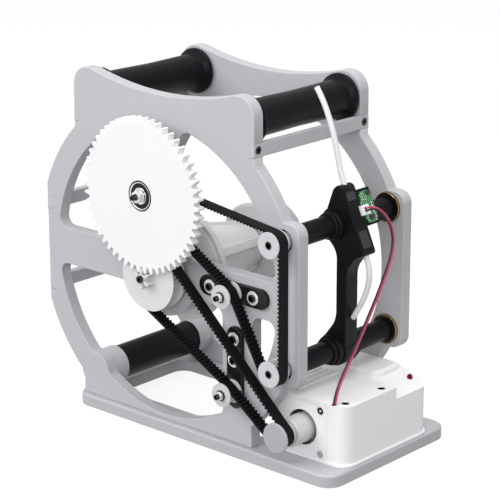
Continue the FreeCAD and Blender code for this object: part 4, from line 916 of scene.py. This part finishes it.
def make_idler_bolts():
    """Bolt from the plate's back, through the idler, with a washer and nut and its hollow dark end."""
    for name, (x, z) in (("upper", UPPER_IDLER), ("lower", LOWER_IDLER)):
        drawings = [
            paint(washer((x, -16.42, z), FRONT, radius=3.9, bore=2.05, thickness=0.75), 1),
            nut((x, -17.2, z), FRONT, radius=3.3, bore=2.02, height=2.6),
            paint(threaded((x, 6.0, z), FRONT, radius=1.98, length=28.0, hollow_end=1.3), 1),
            washer((x, -3.0, z), FRONT, radius=3.4, bore=2.05, thickness=0.6),
            paint(socket_head((x, 6.0, z), BACK, radius=3.4, height=3.2, key=1.6, depth=2.0), 1),
        ]
        finish_piece(name + "_idler_bolt", joined(*drawings), [PLATED_STEEL, DARK_SCREW],
                     name=name + "_idler_bolt_set")


for node in ("drive_belt", "guide_belt"):
    rounded_piece(node, BLACK_RUBBER, width=0.12)
for node in ("upper_rod_pulley", "lower_rod_pulley"):
    rounded_piece(node, GREY_WHEEL, width=0.1, clamp=True)
for node in ("upper_tensioner_bar", "lower_tensioner_bar"):
    rounded_piece(node, BLACK_BAR, width=0.25)
for node in ("upper_idler", "lower_idler"):
    rounded_piece(node, GREY_WHEEL, width=0.25)
make_rod_screws()
make_lock_screws()
make_idler_bolts()


# Guide with its sensor board

# The sensor board's face, measured out from the holder's axis, and the board's middle depth
BOARD_OUT, BOARD_Y = 4.3, 72.8


def on_board(bm, along, y, out=BOARD_OUT):
    """Puts a drawing, whose x, y, z are out, depth and up, square on the sensor board's face."""
    turn = Matrix((HOLDER_OUT, Vector(DEEP), -HOLDER_WAY)).transposed().to_4x4()
    return moved(bm, Matrix.Translation(holder_point(along, out, y)) @ turn)


def make_board_material():
    """Green lacquer over copper tracks."""
    material = plastic("sensor_board_green", (0.006, 0.125, 0.035), (0.004, 0.08, 0.022), 0.3,
                       Coat_Weight=0.3)
    tree = material.node_tree
    surface = tree.nodes["Principled BSDF"]
    lacquer = surface.inputs["Base Color"].links[0].from_socket
    tracks = use_group(tree, BOARD_TRACKS, Along=tuple(HOLDER_WAY))
    tracked = mix_colours(tree, tracks.outputs["Mask"], lacquer, (0.16, 0.50, 0.17, 1))
    tree.links.new(tracked, surface.inputs["Base Color"])
    return material


BOARD_GREEN = make_board_material()


def make_sensor_board():
    """Board with soldered pins, a chip, small parts and a dark switch body at its top corner."""
    board = sized_cube((-1.6, 0.0), (-6.2, 6.2), (-11.25, 11.25))
    corners = [e for e in board.edges if abs(middle(e).y) > 6.0 and abs(middle(e).z) > 11.0]
    round_edges(board, 4.6, corners, 6)
    round_edges(board, 0.2, sharp_edges(board, 60.0))
    drawings = [on_board(board, 18.25, BOARD_Y)]
    solder, chip, switch = 1, 2, 3

    def part(out, y, up, along, width, index):
        """A block on the board's face in the finish at index."""
        drawings.append(paint(on_board(block(out, y, up, width), along, BOARD_Y), index))

    part((-0.05, 1.1), (-1.9, 1.9), (-1.6, 1.6), 26.0, 0.12, chip)
    part((-0.05, 1.5), (1.4, 5.2), (-1.4, 1.4), 9.3, 0.2, switch)
    for along, y in ((8.8, -3.9), (10.9, -3.7), (13.0, -3.9), (13.1, -1.2),
                     (24.3, 4.3), (26.4, 4.4), (28.3, 3.6)):
        part((-0.05, 0.55), (y - 0.9, y + 0.9), (-0.45, 0.45), along, 0.1, solder)
    for along, y in ((11.2, 0.4), (23.6, -3.9), (25.6, -4.6), (27.8, -4.0), (21.9, 4.6), (19.4, 4.8)):
        part((-0.05, 0.45), (y - 0.5, y + 0.5), (-0.55, 0.55), along, 0.1, solder)
    for along in (16.3, 18.4, 20.5, 22.6):
        pin = stack([(ROUND, 0.75, -0.05), (ROUND, 0.7, 0.2), (ROUND, 0.4, 0.55), (ROUND, 0.2, 0.6)],
                    holder_point(along, BOARD_OUT, 76.6), HOLDER_OUT)
        drawings.append(paint(pin, solder))
    finishes = [BOARD_GREEN, SOLDER, CHIP_BLACK, LIMIT_SWITCH]
    finish_piece("sensor_board", joined(*drawings), finishes, name="sensor_board_with_parts")


def make_sensor_plug():
    """White plug: a housing with a raised rib and two wire entries."""
    housing = block((0.0, 3.5), (-3.5, 3.5), (-3.5, 3.5), 0.35)
    rib = block((3.3, 3.72), (-2.7, 2.7), (1.9, 3.1), 0.15)
    drawings = [on_board(housing, PLUG_ALONG, 66.0), on_board(rib, PLUG_ALONG, 66.0)]
    for side in (-1, 1):
        place = holder_point(PLUG_ALONG + side * WIRE_SPACING / 2, 7.7, WIRE_Y)
        drawings.append(paint(washer(place, HOLDER_OUT, radius=1.0, bore=0.66, thickness=0.4, edge=0.1), 1))
    finish_piece("sensor_plug", joined(*drawings), [WHITE_COVER, LIMIT_SWITCH],
                 name="sensor_plug_housing")


# Corners of the guide's plate as x, z and how far the rounding reaches along both sides.
GUIDE_CORNERS = [
    (119.5, 65.3, 0.0), (123.8, 68.0, 1.2), (123.8, 134.0, 4.5), (130.8, 143.6, 2.5), (139.6, 147.6, 2.0),
    (118.9, 193.6, 3.2), (112.2, 192.4, 4.2), (105.8, 174.5, 0.0), (105.9, 155.4, 0.0), (115.0, 146.1, 5.0),
    (115.0, 96.7, 6.0), (105.5, 84.4, 0.0), (106.2, 72.0, 0.0),
]
GUIDE_FRONT, GUIDE_BACK = 53.0, 66.4
GUIDE_RIM = 0.9
SUNK_PANELS = ((3.6, 12.5), (31.5, 46.5))
ROD_BORE = 7.8


def guide_plate():
    """The guide's plate between the rods, with softened rims and two sunk panels on its slanting side, which
    carry a painted sheen.
    """
    bm = bmesh.new()
    points = [bm.verts.new((x, GUIDE_FRONT + GUIDE_RIM, z)) for x, z, reach in GUIDE_CORNERS]
    for a, b in zip(points, points[1:] + points[:1]):
        bm.edges.new((a, b))
    for point, (x, z, reach) in zip(points, GUIDE_CORNERS):
        if reach:
            bmesh.ops.bevel(bm, geom=[point], offset=reach, offset_type="OFFSET", segments=6, profile=0.5,
                            affect="VERTICES", clamp_overlap=False, material=-1)
    for x, z in (UPPER_ROD, LOWER_ROD):
        place = Matrix.Translation((x, GUIDE_FRONT + GUIDE_RIM, z))
        bmesh.ops.create_circle(bm, segments=48, radius=ROD_BORE,
                                matrix=place @ Matrix.Rotation(math.radians(90.0), 4, "X"))
    bmesh.ops.triangle_fill(bm, use_beauty=True, use_dissolve=False, edges=bm.edges[:])
    grown = bmesh.ops.extrude_face_region(bm, geom=bm.faces[:])["geom"]
    bmesh.ops.translate(bm, vec=(0.0, GUIDE_BACK - GUIDE_FRONT - 2 * GUIDE_RIM, 0.0),
                        verts=[part for part in grown if isinstance(part, bmesh.types.BMVert)])
    bmesh.ops.recalc_face_normals(bm, faces=bm.faces)
    for way in (-1.0, 1.0):
        for thickness, depth in ((0.28, 0.62), (0.62, 0.28)):
            flat = [face for face in bm.faces if face.normal.y * way > 0.98]
            bmesh.ops.inset_region(bm, faces=flat, thickness=thickness, depth=depth, use_even_offset=False,
                                   use_boundary=True)
    slanting = [face for face in bm.faces if face.normal.dot(HOLDER_OUT) > 0.99]
    slant = max(slanting, key=lambda face: face.calc_area())
    near = [slant, *slant.edges, *slant.verts]
    for along in (end for panel in SUNK_PANELS for end in panel):
        near = bmesh.ops.bisect_plane(bm, geom=near, dist=0.0001, plane_no=HOLDER_WAY,
                                      plane_co=HOLDER_TOP + HOLDER_WAY * along)["geom"]
    for low, high in SUNK_PANELS:
        panel = [face for face in near if isinstance(face, bmesh.types.BMFace) and face.is_valid
                 and low < (face.calc_center_median() - HOLDER_TOP).dot(HOLDER_WAY) < high]
        bmesh.ops.inset_region(bm, faces=panel, thickness=1.5, depth=-0.35, use_even_offset=True,
                               use_boundary=True)
        # Painted sheen: the sunk panels take the lighter, glossier copy of the guide's black
        for face in panel:
            face.material_index = 1
    return bm


def guide_boss(rod, collar):
    """The round boss that slides on a rod: bush, collar and the thick ring in the plate."""
    half = [(45.0, ROD_BORE), (45.0, 8.8), (45.5, 9.3), (48.4, 9.3), (48.5, collar - 0.5), (49.0, collar),
            (52.9, collar), (52.95, 11.2), (53.2, 11.75), (53.8, 12.0)]
    middle_depth = (GUIDE_FRONT + GUIDE_BACK) / 2
    profile = half + [(2 * middle_depth - y, radius) for y, radius in reversed(half)]
    return turned_ring(*rod, profile, steps=64)


def make_guide_body():
    """Plate, both bosses and the shelf that carries the sensor board."""
    shelf = on_board(block((-3.0, 2.7), (0.0, 21.3), (-13.0, 13.0), 0.6), 18.0, HOLDER_Y, 0.0)
    drawings = [guide_plate(), guide_boss(UPPER_ROD, 10.2), guide_boss(LOWER_ROD, 10.7), shelf]
    finish_piece("guide_body", joined(*drawings), [BLACK_PRINT_AND_PAINTED_SHADE, BLACK_GUIDE_PAINTED_SHEEN])


make_guide_body()
make_sensor_board()
make_sensor_plug()


# Motor and drive box

def make_box_cover():
    """Cover with soft top edges; small openings stay crisp."""
    bm = merged_copy("box_cover", flat=False)
    soften(bm, 12.0, 0.1, 0.35, clamp=True)
    finish_piece("box_cover", bm, WHITE_COVER)


def make_box_screws():
    """Two sunk in the lid; in the motor panel a dark one with a painted highlight in its centre above a grey
    one.
    """
    lids = [socket_head((x, y, 51.6), UP, radius=2.75, height=1.0, key=1.4, depth=0.8)
            for x, y in ((149.5, 22.4), (150.0, 60.9))]
    finish_piece("cover_screws", joined(*lids), DARK_SCREW, name="lid_screw_heads")
    x, high, low = 135.3, 46.3, 14.5
    upper = socket_head((x, 13.7, high), FRONT, radius=2.5, height=1.0, key=1.4, depth=0.8)
    # Painted highlight: a small light dome in the dark screw's socket stands for its glint
    painted_glint = stack([(ROUND, 1.0, 0.0), (ROUND, 0.9, 0.3), (ROUND, 0.5, 0.4)], (x, 13.2, high), FRONT)
    paint(painted_glint, 1)
    lower = paint(socket_head((x, 13.7, low), FRONT, radius=2.5, height=1.0, key=1.4, depth=0.5), 2)
    finish_piece("panel_screws", joined(upper, painted_glint, lower), [DARK_SCREW, MOTOR_CASE_AND_PAINTED_GLINT, GREY_CAP],
                 name="panel_screw_heads")


def make_motor_panel():
    """The panel is a hair smaller than its recess, which leaves the seam; the wall of its opening is painted
    dark as shade.
    """
    bm = merged_copy("motor_panel", flat=False)
    scaled(bm, (117.75, 0.0, 30.75), (0.992, 1.0, 0.99))
    round_edges(bm, 0.15, sharp_edges(bm), clamp=True)

    def on_wall(face, spot):
        """Whether a face round the opening looks at the motor's axis."""
        inwards = Vector((MOTOR[0] - spot.x, 0.0, MOTOR[1] - spot.z))
        return inwards.length < 16.0 and face.normal.dot(inwards.normalized()) > 0.6

    # Painted shade: the faces of the opening's wall take the seal black
    paint_where(bm, on_wall)
    finish_piece("motor_panel", bm, [WHITE_COVER, SEAL_BLACK_AND_PAINTED_SHADE])


def make_gear_motor():
    """Light neck in front of the panel; what lies behind the opening is painted dark as shade inside the box.
    """
    bm = merged_copy("gear_motor")
    round_edges(bm, 0.3, sharp_edges(bm))
    # Painted shade: faces deeper than the panel's front take the seal black
    paint_where(bm, lambda face, spot: spot.y > 13.4)
    finish_piece("gear_motor", bm, [MOTOR_CASE_AND_PAINTED_GLINT, SEAL_BLACK_AND_PAINTED_SHADE])


def make_wire_grommet():
    """White filler of the notch in the cover's corner, with a small black disc painted as the shaded opening
    that the two wires go into.
    """
    filler = block((144.2, 147.8), (12.98, 16.5), (48.9, 53.0), 0.05)
    # Painted shade: a black disc stands for the dark opening into the box
    dark_opening_disc = stack([
        (ROUND, 1.75, 0.0), (ROUND, 1.75, 0.2), (ROUND, 1.65, 0.3), (ROUND, 1.4, 0.3), (ROUND, 1.3, 0.05),
    ], (146.0, 14.7, 52.95), UP)
    finish_piece("wire_grommet", joined(filler, paint(dark_opening_disc, 1)), [WHITE_COVER, BLACK_PRINT_AND_PAINTED_SHADE])


def make_motor_pulley():
    """The plain cap in front is darker than the toothed wheel, and only its rim is rounded."""
    bm = merged_copy("motor_pulley")

    def on_rim(edge):
        """Whether an edge is on the cap's outer rim."""
        spot = middle(edge)
        return spot.y < -14.2 and math.hypot(spot.x - MOTOR[0], spot.z - MOTOR[1]) > 10.0

    round_edges(bm, 0.25, [e for e in sharp_edges(bm) if on_rim(e)])
    paint_where(bm, lambda face, spot: spot.y >= -14.25)
    finish_piece("motor_pulley", bm, [GREY_CAP, GREY_WHEEL])


make_box_cover()
make_box_screws()
make_wire_grommet()
make_motor_pulley()
make_gear_motor()
make_motor_panel()
rounded_piece("box_tray", WHITE_COVER, width=0.4)
rounded_piece("motor_shaft", BRIGHT_STEEL, width=0.15)
rounded_piece("power_socket", BLACK_PRINT_AND_PAINTED_SHADE, width=0.2)
keep_node("status_lamp", LAMP_RED)
keep_node("control_board", BOARD_GREEN)


# Floor, backdrop and lights

def seen_rays(tree):
    """1 for rays that show the background itself: straight, mirrored or through something clear."""
    path = tree.nodes.new("ShaderNodeLightPath")
    mirrored = math_node(tree, "MAXIMUM", path.outputs["Is Glossy Ray"], path.outputs["Is Transmission Ray"])
    return math_node(tree, "MAXIMUM", path.outputs["Is Camera Ray"], mirrored)


def show_mixed(tree, factor, first, second, end):
    """Mixes two shaders and shows the result."""
    mixer = tree.nodes.new("ShaderNodeMixShader")
    for socket, value in zip(mixer.inputs, (factor, first, second)):
        feed(tree, socket, value)
    feed(tree, tree.nodes[end].inputs["Surface"], mixer.outputs["Shader"])


def make_floor():
    """White where it is seen, apart from the object's shadow, and a plain grey to all other light."""
    bm = bmesh.new()
    bmesh.ops.create_grid(bm, x_segments=1, y_segments=1, size=8.0)
    floor = placed("studio_floor", mesh_from("studio_floor", bm))
    material, tree, surface = new_material("studio_floor_white")
    surface.inputs["Roughness"].default_value = 0.9
    glow = tree.nodes.new("ShaderNodeEmission")
    glow.inputs["Color"].default_value = (1, 1, 1, 1)
    glow.inputs["Strength"].default_value = 1.06
    seen = seen_rays(tree)
    white_where_seen = mix_colours(tree, seen, (0.25, 0.25, 0.255, 1), (0.9, 0.9, 0.9, 1))
    tree.links.new(white_where_seen, surface.inputs["Base Color"])
    show_mixed(tree, math_node(tree, "MULTIPLY", seen, 0.8), surface.outputs["BSDF"],
               glow.outputs["Emission"], "Material Output")
    floor.data.materials.append(material)


def make_world():
    """Dim for the light that it gives, brighter where it is seen itself."""
    world = bpy.data.worlds.new("studio_world")
    world.use_nodes = True
    tree = world.node_tree
    plain = tree.nodes["Background"]
    plain.inputs["Color"].default_value = (1.0, 1.0, 1.0, 1)
    plain.inputs["Strength"].default_value = 0.6
    white = tree.nodes.new("ShaderNodeBackground")
    white.inputs["Strength"].default_value = 1.0
    show_mixed(tree, seen_rays(tree), plain.outputs["Background"], white.outputs["Background"],
               "World Output")
    bpy.context.scene.world = world


def soft_light(name, place, target, size, power):
    """A rectangular studio light at place that looks at target; metres and watts."""
    lamp = bpy.data.lights.new(name, "AREA")
    lamp.shape = "RECTANGLE"
    lamp.size, lamp.size_y = size
    lamp.energy = power
    light = placed(name, lamp)
    way = Vector(target) - Vector(place)
    light.matrix_world = Matrix.Translation(place) @ way.to_track_quat("-Z", "Y").to_matrix().to_4x4()


make_floor()
make_world()
soft_light("key_left", (-0.7, -1.45, 1.15), (0.0, 0.0, 0.14), (1.3, 1.0), 18.0)
soft_light("front_right", (0.95, -1.35, 0.8), (0.0, 0.0, 0.12), (1.1, 0.9), 11.0)
soft_light("top_strip", (0.3, 0.1, 1.7), (0.0, 0.0, 0.1), (1.3, 0.8), 14.0)

bpy.context.scene.view_settings.view_transform = "Standard"
